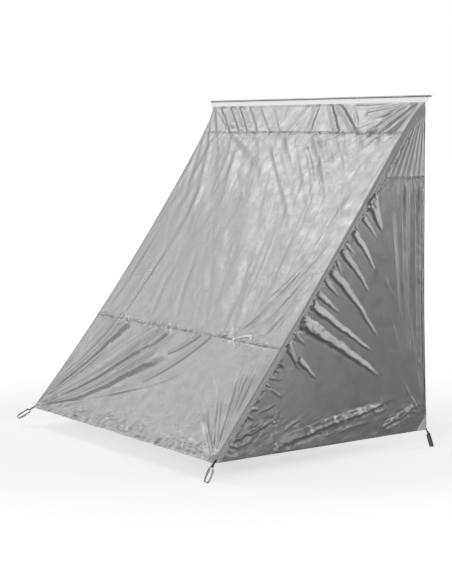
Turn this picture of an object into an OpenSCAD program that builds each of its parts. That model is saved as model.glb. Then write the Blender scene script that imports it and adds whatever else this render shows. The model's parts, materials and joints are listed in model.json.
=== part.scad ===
// Lean-to tarp shelter: a sloping front and two triangular side walls hang from a beaded
// white strip in an awning rail, and end in a webbing peg loop at each bottom corner.
// +X runs along the rail to the right, +Y points to the open back, +Z is up, and z = 0 is
// the ground. x = 0 is the middle of the rail.

/* [Shelter] */
// Length of the awning rail
rail_len = 2102; // [1900:1:2300]
// Width of the skin along its top seam
top_w = 2032; // [1850:1:2060]
// Width between the front corners
front_w = 1924; // [1700:1:2060]
// Width between the rear corners
rear_w = 2044; // [1850:1:2100]
// Height of the top seam above the bottom hems
wall_h = 1900; // [1600:1:2100]
// Horizontal reach of the front slope
depth = 1465; // [1200:1:1700]
// How far the rear corners sit behind the top seam
rear_set = 36; // [0:1:80]
// Height of the bottom hems above the ground
lift = 108.3; // [100:0.1:140]
// Distance from the footprint's centre to the top seam
seam_y = 741; // [700:0.1:800]

/* [Drape] */
// How far the front slope hangs below a straight line
sag = 46; // [10:1:70]
// How far each ridge pulls in towards the middle
bow = 50; // [10:1:70]
// How far each rear edge pulls in
rear_bow = 14; // [0:1:30]
// Front upper seam, as a share of the wall height from the top
front_seam_a = 0.0935; // [0.07:0.0005:0.12]
// Front lower seam, as a share of the wall height from the top
front_seam_b = 0.703; // [0.6:0.001:0.8]
// Side seam, as a share of the wall height from the top
side_seam = 0.227; // [0.15:0.001:0.4]

/* [Fabric] */
// Thickness of the cloth, coating included
sheet_t = 1.2; // [1:0.1:2]
// Thickness of seam tape
tape_t = 0.8; // [0.6:0.1:1.2]
// Width of the seam tapes
tape_w = 16; // [10:1:24]
// Width of the hems
hem_w = 25; // [15:1:30]
// Thickness of a folded hem
hem_t = 1.5; // [1:0.1:2]
// Width of the ridge tape on the side wall
ridge_w = 30; // [20:1:40]
// Length of a corner patch along each hem
patch = 95; // [60:1:140]

/* [Rail] */
// Outer radius of the rail's bead tube
tube_r = 6.5; // [6.3:0.1:8]
// Radius of the channel inside the tube
channel_r = 4.1; // [4.05:0.05:4.4]
// Depth of the screw flange behind the bead
flange_d = 30; // [26:1:40]
// Thickness of the flange
flange_t = 2; // [1.8:0.1:3]
// Radius of the screw holes
screw_r = 2.3; // [2:0.1:2.6]
// Distance between neighbouring screw holes
screw_pitch = 280; // [240:1:285]

/* [Beaded strip] */
// Length of the beaded strip
strip_len = 2086; // [1850:1:2100]
// Radius of the bead cord
cord_r = 3; // [2.8:0.05:3.1]
// Outer radius of the sleeve round the cord
sleeve_r = 3.75; // [3.6:0.05:3.85]
// Length of the white flap below the bead axis
flap_l = 30; // [24:1:36]
// Forward lean of the flap, in degrees
lean = 20; // [10:1:25]

/* [Peg loops] */
// Width of the webbing in a peg loop
web_w = 22; // [15:1:25]
// Thickness of the webbing
web_t = 1.8; // [1.4:0.1:2.2]
// Length of a peg loop from its eye
loop_l = 93; // [80:1:110]
// Widest half opening of a peg loop
loop_half = 17; // [12:1:20]
// Width of the tab that holds a loop
tab_w = 15; // [12:1:15]

/* [Hidden] */

RIGHT = 1;                                   // sides, as the sign of X
LEFT = -1;

top_z = lift + wall_h;                       // height of the top seam
bead_y = seam_y + flap_l * sin(lean);        // the bead's axis
bead_z = top_z + flap_l * cos(lean);
slope_l = sqrt(wall_h * wall_h + depth * depth);

gap = 0.3;                                   // slack between sewn layers
inside = -sheet_t - gap;                     // outer face of a layer sewn inside the cloth
patch_t = 1;

// ---- the shape of the skin ----
// A level s runs from 0 at the top seam to 1 at the bottom hems.
bow_onset = 0.04;                            // level scale over which the ridge bow sets in

function level_z(s) = top_z - wall_h * s;
function slope_y(s) = seam_y - depth * s + 4 * sag * s * (1 - s);
function ridge_x(s) = top_w / 2 + (front_w - top_w) / 2 * s
    - bow * (1 - exp(-s / bow_onset)) * (1 - pow(s, 4));
function rear_x(s) = top_w / 2 + (rear_w - top_w) / 2 * s - rear_bow * 4 * s * (1 - s);
function rear_y(s) = seam_y + rear_set * s;

// outward unit normal of the front, square to its tangent [0, run, -wall_h]
function slope_normal(s) =
    let (run = -depth + 4 * sag * (1 - 2 * s), size = norm([run, wall_h]))
    [0, -wall_h / size, -run / size];

// a point of the front at level s and width x, standing out by out
function front_point(s, x, out) = [x, slope_y(s), level_z(s)] + out * slope_normal(s);

// width of a side wall at level s
function side_width(s) = norm([rear_x(s) - ridge_x(s), rear_y(s) - slope_y(s)]);

// a point of a side wall at level s, back behind the ridge, standing out by out
function side_point(s, back, out, side) = let (share = back / side_width(s))
    [side * (ridge_x(s) + share * (rear_x(s) - ridge_x(s)) + out),
     slope_y(s) + share * (rear_y(s) - slope_y(s)),
     level_z(s)];

// ---- levels ----
front_start = 0.0006;                        // top edge of the front panel
hem_start = 0.002;                           // top edge of the top hem
side_start = 0.012;                          // where the side walls' points are cut off
trim_start = 0.02;                           // top of the ridge tapes and rear hems
ridge_tape_end = 0.995;
seam_gap = 0.0002;                           // from a seam to the panel on either side
min_step = 0.0008;                           // least step from a band's end to the next level

hem_end = hem_start + hem_w / slope_l;
bottom_hem_start = 1 - hem_w / wall_h;
rear_hem_end = 1 - (hem_w + 2) / wall_h;     // stops 2 mm above the bottom hem
patch_start = 1 - patch / wall_h;
front_tape_half = tape_w / 2 / slope_l;
side_tape_half = tape_w / 2 / wall_h;

function sorted(v) = len(v) < 2 ? v : let (pivot = v[0])
    concat(sorted([for (x = v) if (x < pivot) x]), [pivot], sorted([for (x = v) if (x > pivot) x]));
function spread(from, to, steps) = [for (i = [0 : steps]) from + (to - from) * i / steps];
function tape_levels(seam, half) = [for (k = [-1 : 1]) seam + k * half];

// one list of levels, so that layers that lie on each other share their facets
LEVELS = sorted(concat(
    [hem_start, side_start, trim_start, 0.03, 0.042, 0.057, 0.074],
    spread(0.125, 0.2, 2), spread(0.26, 0.66, 10), spread(0.735, 0.925, 5),
    [hem_end],
    tape_levels(front_seam_a, front_tape_half),
    tape_levels(front_seam_b, front_tape_half),
    tape_levels(side_seam, side_tape_half),
    [patch_start, rear_hem_end, bottom_hem_start]));

function levels(from, to) =
    concat([from], [for (s = LEVELS) if (s > from + min_step && s < to - min_step) s], [to]);

// ---- columns of a side wall, from the ridge to the rear edge ----
RIDGE = 0;
WALL_EDGE = 1;                               // front edge of the wall's cloth
RIDGE_TAPE_EDGE = 2;
TAPE_END = 5;                                // rear end of the seam tape, just short of the hem
REAR_HEM_EDGE = 6;
REAR = 7;

// distance of a column behind the ridge; tape and hem narrow with the wall near its top
function column(s, index) =
    let (width = side_width(s),
         tape_edge = min(ridge_w, 0.42 * width),
         hem_edge = width - min(hem_w, 0.4 * width),
         middle = hem_edge - tape_edge)
    [0, 5, tape_edge, tape_edge + middle * 0.3, tape_edge + middle * 0.65,
     hem_edge - min(2, 0.1 * middle), hem_edge, width][index];

// ---- thin closed shells from two grids of points ----
function flat(rows) = [for (row = rows) for (point = row) point];

module shell(outer, inner, flip = false) {
    rows = len(outer);
    cols = len(outer[0]);
    count = rows * cols;                     // the inner grid's points follow the outer's
    outer_faces = [for (i = [0 : rows - 2]) for (j = [0 : cols - 2])
        let (a = i * cols + j, b = a + 1, d = a + cols, e = d + 1)
        for (face = [[a, b, e], [a, e, d]]) face];
    inner_faces = [for (f = outer_faces) [f[0] + count, f[2] + count, f[1] + count]];
    rim = concat(
        [for (j = [0 : cols - 2]) [j, j + 1]],
        [for (i = [0 : rows - 2]) [i * cols + cols - 1, (i + 1) * cols + cols - 1]],
        [for (j = [0 : cols - 2]) [count - 1 - j, count - 2 - j]],
        [for (i = [0 : rows - 2]) [(rows - 1 - i) * cols, (rows - 2 - i) * cols]]);
    rim_faces = [for (r = rim)
        for (face = [[r[1], r[0], r[0] + count], [r[1], r[0] + count, r[1] + count]]) face];
    faces = concat(outer_faces, inner_faces, rim_faces);
    polyhedron(concat(flat(outer), flat(inner)),
        [for (f = faces) flip ? [f[0], f[2], f[1]] : f], convexity = 4);
}

// a band of the front between two levels, its outer face at out, set in from each ridge
module front_band(from, to, out, thick, inset = 0) {
    grids = [for (face = [out, out - thick]) [for (s = levels(from, to))
        [for (side = [LEFT, RIGHT]) front_point(s, side * (ridge_x(s) - inset), face)]]];
    shell(grids[0], grids[1]);
}

// a piece of a side wall; backs(s) lists its points' distances behind the ridge
module side_shell(from, to, side, out, thick, backs) {
    grids = [for (face = [out, out - thick]) [for (s = levels(from, to))
        [for (back = backs(s)) side_point(s, back, face, side)]]];
    shell(grids[0], grids[1], side < 0);
}

// a band of a side wall between two levels and between two of its columns
module side_band(from, to, side, out, thick, first, last) {
    side_shell(from, to, side, out, thick,
        function (s) [for (index = [first : last]) column(s, index)]);
}

// ---- rail and bead ----
hole_inset = 10;                             // from the flange's rear edge to a screw hole
slot_reach = 12;
slot_half_angle = 24;
flap_t = 1;

module rod(length, r) {
    rotate([0, 90, 0]) cylinder(h = length, r = r, center = true, $fn = 96);
}

module at_bead() { translate([0, bead_y, bead_z]) children(); }

// a cross-section run along the rail; its -Y leans forward with the flap
module leaning_profile(length) {
    rotate([-lean, 0, 0]) rotate([90, 0, 90])
        linear_extrude(height = length, center = true) children();
}

module awning_rail() {
    slot_half = slot_reach * tan(slot_half_angle);
    color("dimgray") at_bead() difference() {
        union() {
            rod(rail_len, tube_r);
            translate([-rail_len / 2, 0, tube_r - flange_t]) cube([rail_len, flange_d, flange_t]);
        }
        rod(rail_len + 2, channel_r);
        // slot for the flap, a wedge that opens downwards and forwards
        leaning_profile(rail_len + 2)
            polygon([[0, 0], [-slot_half, -slot_reach], [slot_half, -slot_reach]]);
        for (i = [-3.5 : 1 : 3.5])
            translate([i * screw_pitch, flange_d - hole_inset, 0])
                cylinder(h = 20, r = screw_r, $fn = 48);
    }
}

module bead_cord() { color("whitesmoke") at_bead() rod(strip_len, cord_r); }

module bead_sleeve_strip() {
    color("white") at_bead() leaning_profile(strip_len) difference() {
        union() {
            circle(r = sleeve_r, $fn = 96);
            translate([-flap_t / 2, -flap_l]) square([flap_t, flap_l - 1]);
        }
        circle(r = cord_r + 0.05, $fn = 96);
    }
}

// ---- front slope ----
trim_inset = 42;                             // from the ridges to the seam tapes and front hem
top_hem_inset = 52;

module front_panel(from, to) { color("silver") front_band(from, to, 0, sheet_t); }
module front_top_panel() { front_panel(front_start, front_seam_a - seam_gap); }
module front_main_panel() { front_panel(front_seam_a + seam_gap, front_seam_b - seam_gap); }
module front_bottom_panel() { front_panel(front_seam_b + seam_gap, 1); }

module front_tape(seam) {
    color("lightgray")
        front_band(seam - front_tape_half, seam + front_tape_half, inside, tape_t, trim_inset);
}
module front_top_seam_tape() { front_tape(front_seam_a); }
module front_bottom_seam_tape() { front_tape(front_seam_b); }

module top_hem() {
    color("silver") front_band(hem_start, hem_end, inside, hem_t, top_hem_inset);
}
module front_hem() {
    color("silver") front_band(1 - hem_w / slope_l, 1, inside, hem_t, trim_inset);
}

// ---- side walls ----
module side_panel(from, to, side) {
    color("gray") side_band(from, to, side, 0, sheet_t, WALL_EDGE, REAR);
}
module top_panel(side) { side_panel(side_start, side_seam - seam_gap, side); }
module main_panel(side) { side_panel(side_seam + seam_gap, 1, side); }
module right_top_panel() { top_panel(RIGHT); }
module left_top_panel() { top_panel(LEFT); }
module right_main_panel() { main_panel(RIGHT); }
module left_main_panel() { main_panel(LEFT); }

module side_tape(side) {
    color("lightgray") side_band(side_seam - side_tape_half, side_seam + side_tape_half,
        side, inside, tape_t, WALL_EDGE, TAPE_END);
}
module right_seam_tape() { side_tape(RIGHT); }
module left_seam_tape() { side_tape(LEFT); }

// tape along the ridge, on the outside of the side wall
module ridge_tape(side) {
    color("darkgray") side_band(trim_start, ridge_tape_end, side,
        gap + tape_t, tape_t, RIDGE, RIDGE_TAPE_EDGE);
}
module right_ridge_tape() { ridge_tape(RIGHT); }
module left_ridge_tape() { ridge_tape(LEFT); }

module bottom_hem(side) {
    color("gray") side_band(bottom_hem_start, 1, side, inside, hem_t, WALL_EDGE, REAR);
}
module right_bottom_hem() { bottom_hem(RIGHT); }
module left_bottom_hem() { bottom_hem(LEFT); }

module rear_hem(side) {
    color("gray") side_band(trim_start, rear_hem_end, side, inside, hem_t, REAR_HEM_EDGE, REAR);
}
module right_rear_hem() { rear_hem(RIGHT); }
module left_rear_hem() { rear_hem(LEFT); }

// ---- corner patches ----
// Each widens downwards from 1 mm at its tip.
function below_tip(s) = (s - patch_start) * wall_h;

// inside the bottom hem, 8 mm behind the ridge
module front_patch(side) {
    color("gray") side_shell(patch_start, 1, side, inside - hem_t - 2 * gap, patch_t,
        function (s) [8, 9 + 0.9 * below_tip(s)]);
}
// outside the cloth, along the rear edge
module rear_patch(side) {
    color("darkgray") side_shell(patch_start, 1, side, 2 * gap + patch_t, patch_t,
        function (s) [side_width(s) - 1 - 0.8 * below_tip(s), side_width(s)]);
}
module front_right_patch() { front_patch(RIGHT); }
module front_left_patch() { front_patch(LEFT); }
module rear_right_patch() { rear_patch(RIGHT); }
module rear_left_patch() { rear_patch(LEFT); }

// ---- tabs and peg loops ----
eye_r = 3.1;
eye_at = 18;                                 // distance from the corner to the eye
tab_start = 0.6;                             // distance from the corner to the tab
splay = 17.5;                                // outward turn of tabs and loops, in degrees
neck_gap = 0.8;                              // from the tab's side to the loop's neck
neck_y = -4;                                 // start of the loop's neck, beyond the eye's axis

// Corner frames: [corner point, turn about Z, tilt of the tab, tilt of the loop], with
// tilts in degrees below level. Local +Y points away from the shelter.
function front_corner(side, tab_tilt, loop_tilt) =
    [[side * front_w / 2, seam_y - depth, lift], 180 + side * splay, tab_tilt, loop_tilt];
function rear_corner(side, tab_tilt, loop_tilt) =
    [[side * rear_w / 2, seam_y + rear_set, lift], -side * splay, tab_tilt, loop_tilt];
FRONT_RIGHT = front_corner(RIGHT, 52, 57);
FRONT_LEFT = front_corner(LEFT, 40, 28);
REAR_RIGHT = rear_corner(RIGHT, 62, 74);
REAR_LEFT = rear_corner(LEFT, 62, 74);

module at_tab(corner) {
    translate(corner[0]) rotate([0, 0, corner[1]]) rotate([-corner[2], 0, 0]) children();
}
module at_loop(corner) {
    at_tab(corner) translate([0, eye_at, 0]) rotate([corner[2] - corner[3], 0, 0]) children();
}

// webbing folded round the loop and sewn to itself
module tab(corner) {
    color([0.16, 0.16, 0.17]) at_tab(corner) difference() {
        union() {
            translate([0, eye_at, 0]) rod(tab_w, eye_r + web_t);
            translate([-tab_w / 2, tab_start, -web_t])
                cube([tab_w, eye_at - tab_start, 2 * web_t]);
        }
        translate([0, eye_at, 0]) rod(tab_w + 2, eye_r);
    }
}

// a closed loop shape from start to end along Y: a neck term that fades out plus a belly
module loop_outline(half, start, end) {
    neck = tab_w / 2 + neck_gap + (half - loop_half);
    edge = [for (i = [0 : 24]) let (a = 180 * i / 24)
        [neck * pow(cos(a / 2), 1.2)
            + (half - 3) * pow(sin(a / 2), 1.4) * pow(max(0, sin(a)), 0.55),
         start + (end - start) * (1 - cos(a)) / 2]];
    polygon(concat(edge, [for (i = [len(edge) - 2 : -1 : 0]) [-edge[i][0], edge[i][1]]]));
}

// webbing ring, open at its neck, on a bar through the tab's eye
module peg_loop(corner) {
    clear_w = tab_w + 1.4;                   // opening cut for the tab
    color("gainsboro") at_loop(corner) union() {
        rod(clear_w + 2, eye_r - 0.1);
        difference() {
            linear_extrude(height = web_w, center = true)
                loop_outline(loop_half + web_t, neck_y, loop_l);
            linear_extrude(height = web_w + 2, center = true)
                loop_outline(loop_half, neck_y - 0.01, loop_l - web_t);
            translate([-clear_w / 2, -10, -web_w]) cube([clear_w, 20, 2 * web_w]);
        }
    }
}

module front_right_tab() { tab(FRONT_RIGHT); }
module front_left_tab() { tab(FRONT_LEFT); }
module rear_right_tab() { tab(REAR_RIGHT); }
module rear_left_tab() { tab(REAR_LEFT); }
module front_right_peg_loop() { peg_loop(FRONT_RIGHT); }
module front_left_peg_loop() { peg_loop(FRONT_LEFT); }
module rear_right_peg_loop() { peg_loop(REAR_RIGHT); }
module rear_left_peg_loop() { peg_loop(REAR_LEFT); }

// ---- tie tapes on the lower front seam ----
tie_x = 520;
tie_tilt = acos(-slope_normal(front_seam_b)[1]);   // slope from upright
tie_t = 1.2;
tie_out = 3.2;                               // from the cloth to the tapes' outer face
tie_gap = 0.8;                               // clearance between the pad and a tape
tie_dir = 40;                                // how far the short tape points below the seam
pad_l = 18;
pad_half = 8;
pad_cut = [5.9, -1];                         // cut corner: its run in X, and its upper end in Z
stitch_inset = 1.5;
stitch_w = 0.5;

// Stations along each tape: [x, z, half width]
LONG_TAPE = [
    [tie_gap + 1.2, 3.8, 3.8], [14, 7, 4], [35, 14.5, 5.2], [60, 23, 7.2], [85, 30.5, 8.8],
    [108, 35.5, 9.5], [124, 35.5, 9.7], [136, 29, 9.3], [142, 18, 8], [143.5, 8, 6]];
LONG_TAPE_BRANCH = [[30, 11, 2], [44, 5.5, 1.8], [55, 3.6, 1.5]];
SHORT_TAPE = [
    [tie_gap, 0, 4], [12, 0, 4], [30, -1.5, 4.2], [46, -1, 4.2], [60, 1, 4], [72, 4, 3.4]];

// local X runs along the seam, Z up the slope and -Y outwards
module at_tie() {
    translate(front_point(front_seam_b, tie_x, 0)) rotate([-tie_tilt, 0, 0]) children();
}
// a flat shape drawn in X and Z, its inner face at y
module in_plane(y, thick) {
    translate([0, y, 0]) rotate([90, 0, 0]) linear_extrude(height = thick) children();
}

// one edge of a ribbon: 1 is left of its direction of travel, -1 is right
function ribbon_edge(stations, side) = [for (i = [0 : len(stations) - 1])
    let (here = stations[i],
         step = stations[min(i + 1, len(stations) - 1)] - stations[max(i - 1, 0)],
         along = [step[0], step[1]] / norm([step[0], step[1]]))
    [here[0], here[1]] + side * here[2] * [-along[1], along[0]]];

module ribbon(stations) {
    right_edge = ribbon_edge(stations, -1);
    polygon(concat(ribbon_edge(stations, 1),
        [for (i = [len(right_edge) - 1 : -1 : 0]) right_edge[i]]));
}

// pad over the seam with one cut corner and two stitch grooves
module tie_anchor() {
    stitch_x = -pad_l + stitch_inset;
    color("gainsboro") at_tie() difference() {
        in_plane(-0.6, 1.8) polygon([[-pad_l, pad_half], [0, pad_half], [0, pad_cut[1]],
            [-pad_cut[0], -pad_half], [-pad_l, -pad_half]]);
        in_plane(-2.2, 0.6) {
            translate([stitch_x, pad_half - stitch_inset - stitch_w])
                square([pad_l - 2 * stitch_inset, stitch_w]);
            translate([stitch_x, -pad_half + stitch_inset]) square([9, stitch_w]);
        }
    }
}

// long tape: leaves the pad sideways, widens, and droops at its end
module tie_tape_long() {
    color("white") at_tie() in_plane(tie_t - tie_out, tie_t) union() {
        ribbon(LONG_TAPE);
        ribbon(LONG_TAPE_BRANCH);
    }
}

// short tape: runs down the slope from the middle of the pad's cut corner
module tie_tape_short() {
    color("white") at_tie() in_plane(tie_t - tie_out, tie_t)
        translate([-pad_cut[0] / 2, (pad_cut[1] - pad_half) / 2]) rotate(-tie_dir)
            ribbon(SHORT_TAPE);
}

awning_rail();
bead_cord();
bead_sleeve_strip();
front_top_panel();
front_main_panel();
front_bottom_panel();
right_top_panel();
right_main_panel();
left_top_panel();
left_main_panel();
front_top_seam_tape();
front_bottom_seam_tape();
right_seam_tape();
left_seam_tape();
right_ridge_tape();
left_ridge_tape();
top_hem();
front_hem();
right_bottom_hem();
left_bottom_hem();
right_rear_hem();
left_rear_hem();
front_right_patch();
front_left_patch();
rear_right_patch();
rear_left_patch();
front_right_tab();
front_left_tab();
rear_right_tab();
rear_left_tab();
front_right_peg_loop();
front_left_peg_loop();
rear_right_peg_loop();
rear_left_peg_loop();
tie_anchor();
tie_tape_long();
tie_tape_short();
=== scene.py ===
"""A silver coated-cloth awning: a sloping front and two side walls, hung from a rail.

Metres, +Z up, +X right. The front faces -Y and slopes down from the top seam to the ground;
the side walls run back from its sloping edges (the ridges) to upright rear edges.
A beaded strip holds the top seam in the rail, and each bottom corner has a tab and a peg loop.
"""
import json
import math
from functools import cache

import bmesh
import bpy
import numpy as np
from mathutils import Matrix, Vector


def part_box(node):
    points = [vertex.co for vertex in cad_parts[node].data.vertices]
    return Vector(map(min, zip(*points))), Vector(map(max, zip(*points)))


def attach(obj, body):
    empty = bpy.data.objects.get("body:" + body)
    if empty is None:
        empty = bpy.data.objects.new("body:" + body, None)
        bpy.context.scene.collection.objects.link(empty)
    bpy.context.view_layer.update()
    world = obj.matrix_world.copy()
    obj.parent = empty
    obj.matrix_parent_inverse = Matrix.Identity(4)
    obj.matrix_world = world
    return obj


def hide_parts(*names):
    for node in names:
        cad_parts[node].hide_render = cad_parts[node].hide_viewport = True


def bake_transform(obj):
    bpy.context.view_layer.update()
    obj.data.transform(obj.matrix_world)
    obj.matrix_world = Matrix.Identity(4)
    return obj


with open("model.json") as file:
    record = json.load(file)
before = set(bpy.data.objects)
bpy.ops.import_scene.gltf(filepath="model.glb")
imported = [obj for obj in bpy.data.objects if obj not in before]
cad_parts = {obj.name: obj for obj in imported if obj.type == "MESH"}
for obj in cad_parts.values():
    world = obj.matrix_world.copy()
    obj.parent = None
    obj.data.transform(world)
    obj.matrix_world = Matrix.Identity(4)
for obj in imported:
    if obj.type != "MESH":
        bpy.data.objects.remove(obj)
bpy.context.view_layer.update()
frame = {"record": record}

JOINTS = {joint["name"]: joint for joint in frame["record"]["behaviour"]["joints"]}

# ------------------------------------------------------------------ shape
# A level runs from 0 at the top seam to 1 at the bottom hems.
SEAM_Y, TOP_Z = JOINTS["skin_swing"]["pos_m"][1:]
side_low, side_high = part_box("right_main_panel")
LIFT = side_low.z                    # bottom hems above the ground
HEIGHT = TOP_Z - LIFT
DEPTH = 1.465                        # top seam to bottom front edge, along Y
FRONT_Y = SEAM_Y - DEPTH
SLOPE = math.hypot(HEIGHT, DEPTH)    # length of the front down its slope
TOP_HALF = 1.016                     # half widths
FRONT_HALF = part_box("front_bottom_panel")[1].x
REAR_HALF = side_high.x
REAR_SET = 0.036                     # rear edge moves back by this much at the bottom
SAG, BOW, REAR_BOW = 0.046, 0.050, 0.014
UPPER_SEAM, LOWER_SEAM, SIDE_SEAM = 0.0935, 0.703, 0.227    # levels
UPPER_Y, LOWER_Y = UPPER_SEAM * SLOPE, LOWER_SEAM * SLOPE   # the same, down the slope
SIDE_SEAM_Z = TOP_Z - HEIGHT * SIDE_SEAM
CLOTH = 0.0006                       # cloth thickness
WRAP = 0.044                         # the front cloth wraps this far round the ridge
ROUND = 0.017                        # half length of the rounding at the ridge
SIDE_START = 0.024                   # the side cloth starts this far behind the ridge


def ridge_x(level):
    bow = BOW * (1 - np.exp(-level / 0.04)) * (1 - level**4)
    return TOP_HALF + (FRONT_HALF - TOP_HALF) * level - bow


def slope_y(level):
    return SEAM_Y - DEPTH * level + 4 * SAG * level * (1 - level)


def level_z(level):
    return TOP_Z - HEIGHT * level


def rear_x(level):
    return TOP_HALF + (REAR_HALF - TOP_HALF) * level - REAR_BOW * 4 * level * (1 - level)


def rear_y(level):
    return SEAM_Y + REAR_SET * level


def side_width(level):
    return np.hypot(rear_x(level) - ridge_x(level), rear_y(level) - slope_y(level))


# ------------------------------------------------------------------ noise
def rng(seed):
    return np.random.RandomState(seed)


@cache
def lattice(seed, shape):
    return rng(seed).uniform(-1, 1, shape)


def smooth(value):
    """0 to 1 with soft ends."""
    value = np.clip(value, 0, 1)
    return value * value * (3 - 2 * value)


def bell(value):
    return np.exp(-value * value)


def noise1(x, seed):
    table = lattice(seed, (1024,))
    i = np.floor(x).astype(int)
    part = x - i
    part = part * part * (3 - 2 * part)
    return table[i % 1024] * (1 - part) + table[(i + 1) % 1024] * part


def noise2(x, y, seed):
    table = lattice(seed, (256, 256))
    i, j = np.floor(x).astype(int), np.floor(y).astype(int)
    part_x, part_y = (part**3 * (part * (part * 6 - 15) + 10) for part in (x - i, y - j))
    near, far = (table[i % 256, k % 256] * (1 - part_x) + table[(i + 1) % 256, k % 256] * part_x
                 for k in (j, j + 1))
    return near * (1 - part_y) + far * part_y


def crumple(x, y, seed, scale):
    """Small faceted creases: folded-over noise."""
    coarse = 1 - 2 * np.abs(noise2(x / scale, y / scale, seed))
    fine = 1 - 2 * np.abs(noise2(x / scale * 2.1 + 3.3, y / scale * 2.1 + 8.1, seed + 1))
    return 0.65 * coarse + 0.35 * fine


# ------------------------------------------------------------------ curves
def bend(stations, steps=8):
    """A smooth curve through a few points."""
    points = np.array(stations, float)
    if len(points) == 2:
        return points[0] + (points[1] - points[0]) * np.linspace(0, 1, 3)[:, None]
    ends = 2 * points[0] - points[1], 2 * points[-1] - points[-2]
    points = np.vstack([ends[0], points, ends[1]])
    curve = []
    for before, start, end, after in zip(points, points[1:], points[2:], points[3:]):
        for t in np.linspace(0, 1, steps, endpoint=False):
            curve.append(0.5 * (2 * start + (end - before) * t
                                + (2 * before - 5 * start + 4 * end - after) * t * t
                                + (3 * start - before - 3 * end + after) * t**3))
    curve.append(points[-2])
    return np.array(curve)


def unit(vectors):
    vectors = np.asarray(vectors, float)
    return vectors / np.linalg.norm(vectors, axis=-1, keepdims=True)


def run_length(points):
    """Distance along a path at each of its points."""
    return np.concatenate([[0], np.cumsum(np.linalg.norm(np.diff(points, axis=0), axis=1))])


def sample(at, run, table):
    """Rows of a table read at distances along its run."""
    return np.stack([np.interp(at, run, column) for column in table.T], -1)


def resample(points, step):
    run = run_length(points)
    count = max(4, int(round(run[-1] / step)))
    return sample(np.linspace(0, run[-1], count + 1), run, points)


# ------------------------------------------------------------------ folds
def near_curve(x, y, stations, reach):
    """Mask of the points near a curve, their signed distance from it and place along it, 0-1."""
    curve = bend(stations)
    low, high = curve.min(0) - reach, curve.max(0) + reach
    mask = (x > low[0]) & (x < high[0]) & (y > low[1]) & (y < high[1])
    x, y = x[mask], y[mask]
    lengths = np.hypot(*np.diff(curve, axis=0).T)
    run = np.concatenate([[0], np.cumsum(lengths)])
    nearest = np.full(x.shape, 1e9)
    side, place = np.zeros_like(x), np.zeros_like(x)
    for i, length in enumerate(lengths):
        start, (dir_x, dir_y) = curve[i], (curve[i + 1] - curve[i]) / length
        along = np.clip((x - start[0]) * dir_x + (y - start[1]) * dir_y, 0, length)
        off_x, off_y = x - start[0] - dir_x * along, y - start[1] - dir_y * along
        distance = np.hypot(off_x, off_y)
        closer = distance < nearest
        nearest[closer] = distance[closer]
        side[closer] = (np.sign(dir_x * off_y - dir_y * off_x) * distance)[closer]
        place[closer] = ((run[i] + along) / run[-1])[closer]
    return mask, side, place


class Folds:
    """Fold height gathered over cloth points that have flat coordinates x and y.

    Rise and fall are the shares of a fold's length over which it grows and dies away.
    """

    def __init__(self, x, y):
        self.x, self.y, self.height = x, y, np.zeros_like(x)

    def stroke(self, path, half_width, height, rise=0.2, fall=0.3, start=1.0, end=1.0, skew=0.0):
        """A round fold: height > 0 stands out, start and end scale its width there."""
        reach = 4.2 * half_width * max(start, end)
        mask, side, place = near_curve(self.x, self.y, path, reach)
        ends = smooth(place / rise) * smooth((1 - place) / fall)
        across = side / (half_width * (start + (end - start) * place))
        across = across * (1 + skew * np.tanh(across))
        profile = (1 - 0.8 * across * across) * np.exp(-0.5 * across * across)
        self.height[mask] += height * ends * profile

    def facet(self, path, start, end, tilt, rise, fall, steep, ragged=0.10, turn=1, taper=1.0):
        """A crease: a flank start to end wide rises at a slope of tilt, then drops steeply."""
        mask, side, place = near_curve(self.x, self.y, path, 2.6 * max(start, end))
        width = start + (end - start) * place**taper
        rough = noise2(self.x[mask] / 0.028 + 3.1, self.y[mask] / 0.028 + 7.7, 997)
        across = turn * (side + ragged * width * rough) / width
        up = np.clip(1 + across / 1.25, 0, 1)
        up = up - 0.16 * np.sin(2 * np.pi * up) / (2 * np.pi)
        rim = (np.where(across < 0, up, 1 - smooth(across / steep))
               - 0.05 * bell((across + 1.35) / 0.35) - 0.16 * bell((across - steep * 1.5) / 0.3))
        self.height[mask] += tilt * width * smooth(place / rise) * smooth((1 - place) / fall) * rim

    def fan(self, corner, angles, count, height, grow, fade, seed):
        """Folds that run out of a corner between two directions (degrees)."""
        off_x, off_y = self.x - corner[0], self.y - corner[1]
        distance = np.hypot(off_x, off_y)
        first, last = angles
        middle = (first + last) / 2
        angle = (np.degrees(np.arctan2(off_y, off_x)) - middle + 180) % 360 - 180 + middle
        share = (angle - first) / (last - first)
        inside = smooth(share / 0.10) * smooth((1 - share) / 0.10)
        share = share + (0.035 * noise2(distance * 4 + 7.3, share * 3 + 1.7, seed + 5)
                         * np.minimum(distance / 0.3, 1))
        wave = noise1(share * count + 3.1, seed)
        limit = fade * (1 + 0.5 * noise1(share * count * 0.7 + 9.2, seed + 1))
        far = smooth((limit - distance) / (fade * 0.6))
        self.height += height * np.minimum(distance / grow, 1) * inside * far * wave

    def pucker(self, along, distance, seed, height, length, reach, floor=0.25):
        """Gathers that run across a seam, length apart."""
        patchy = np.abs(noise1(along / (length * 5.3) + 4.4, seed + 2))
        strength = np.exp(-np.abs(distance) / reach) * (floor + (1 - floor) * patchy * 1.6)
        wander = 0.6 * noise1(distance / 0.02 + 2.2, seed + 3)
        self.height += height * strength * noise1(along / length + wander, seed)


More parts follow.
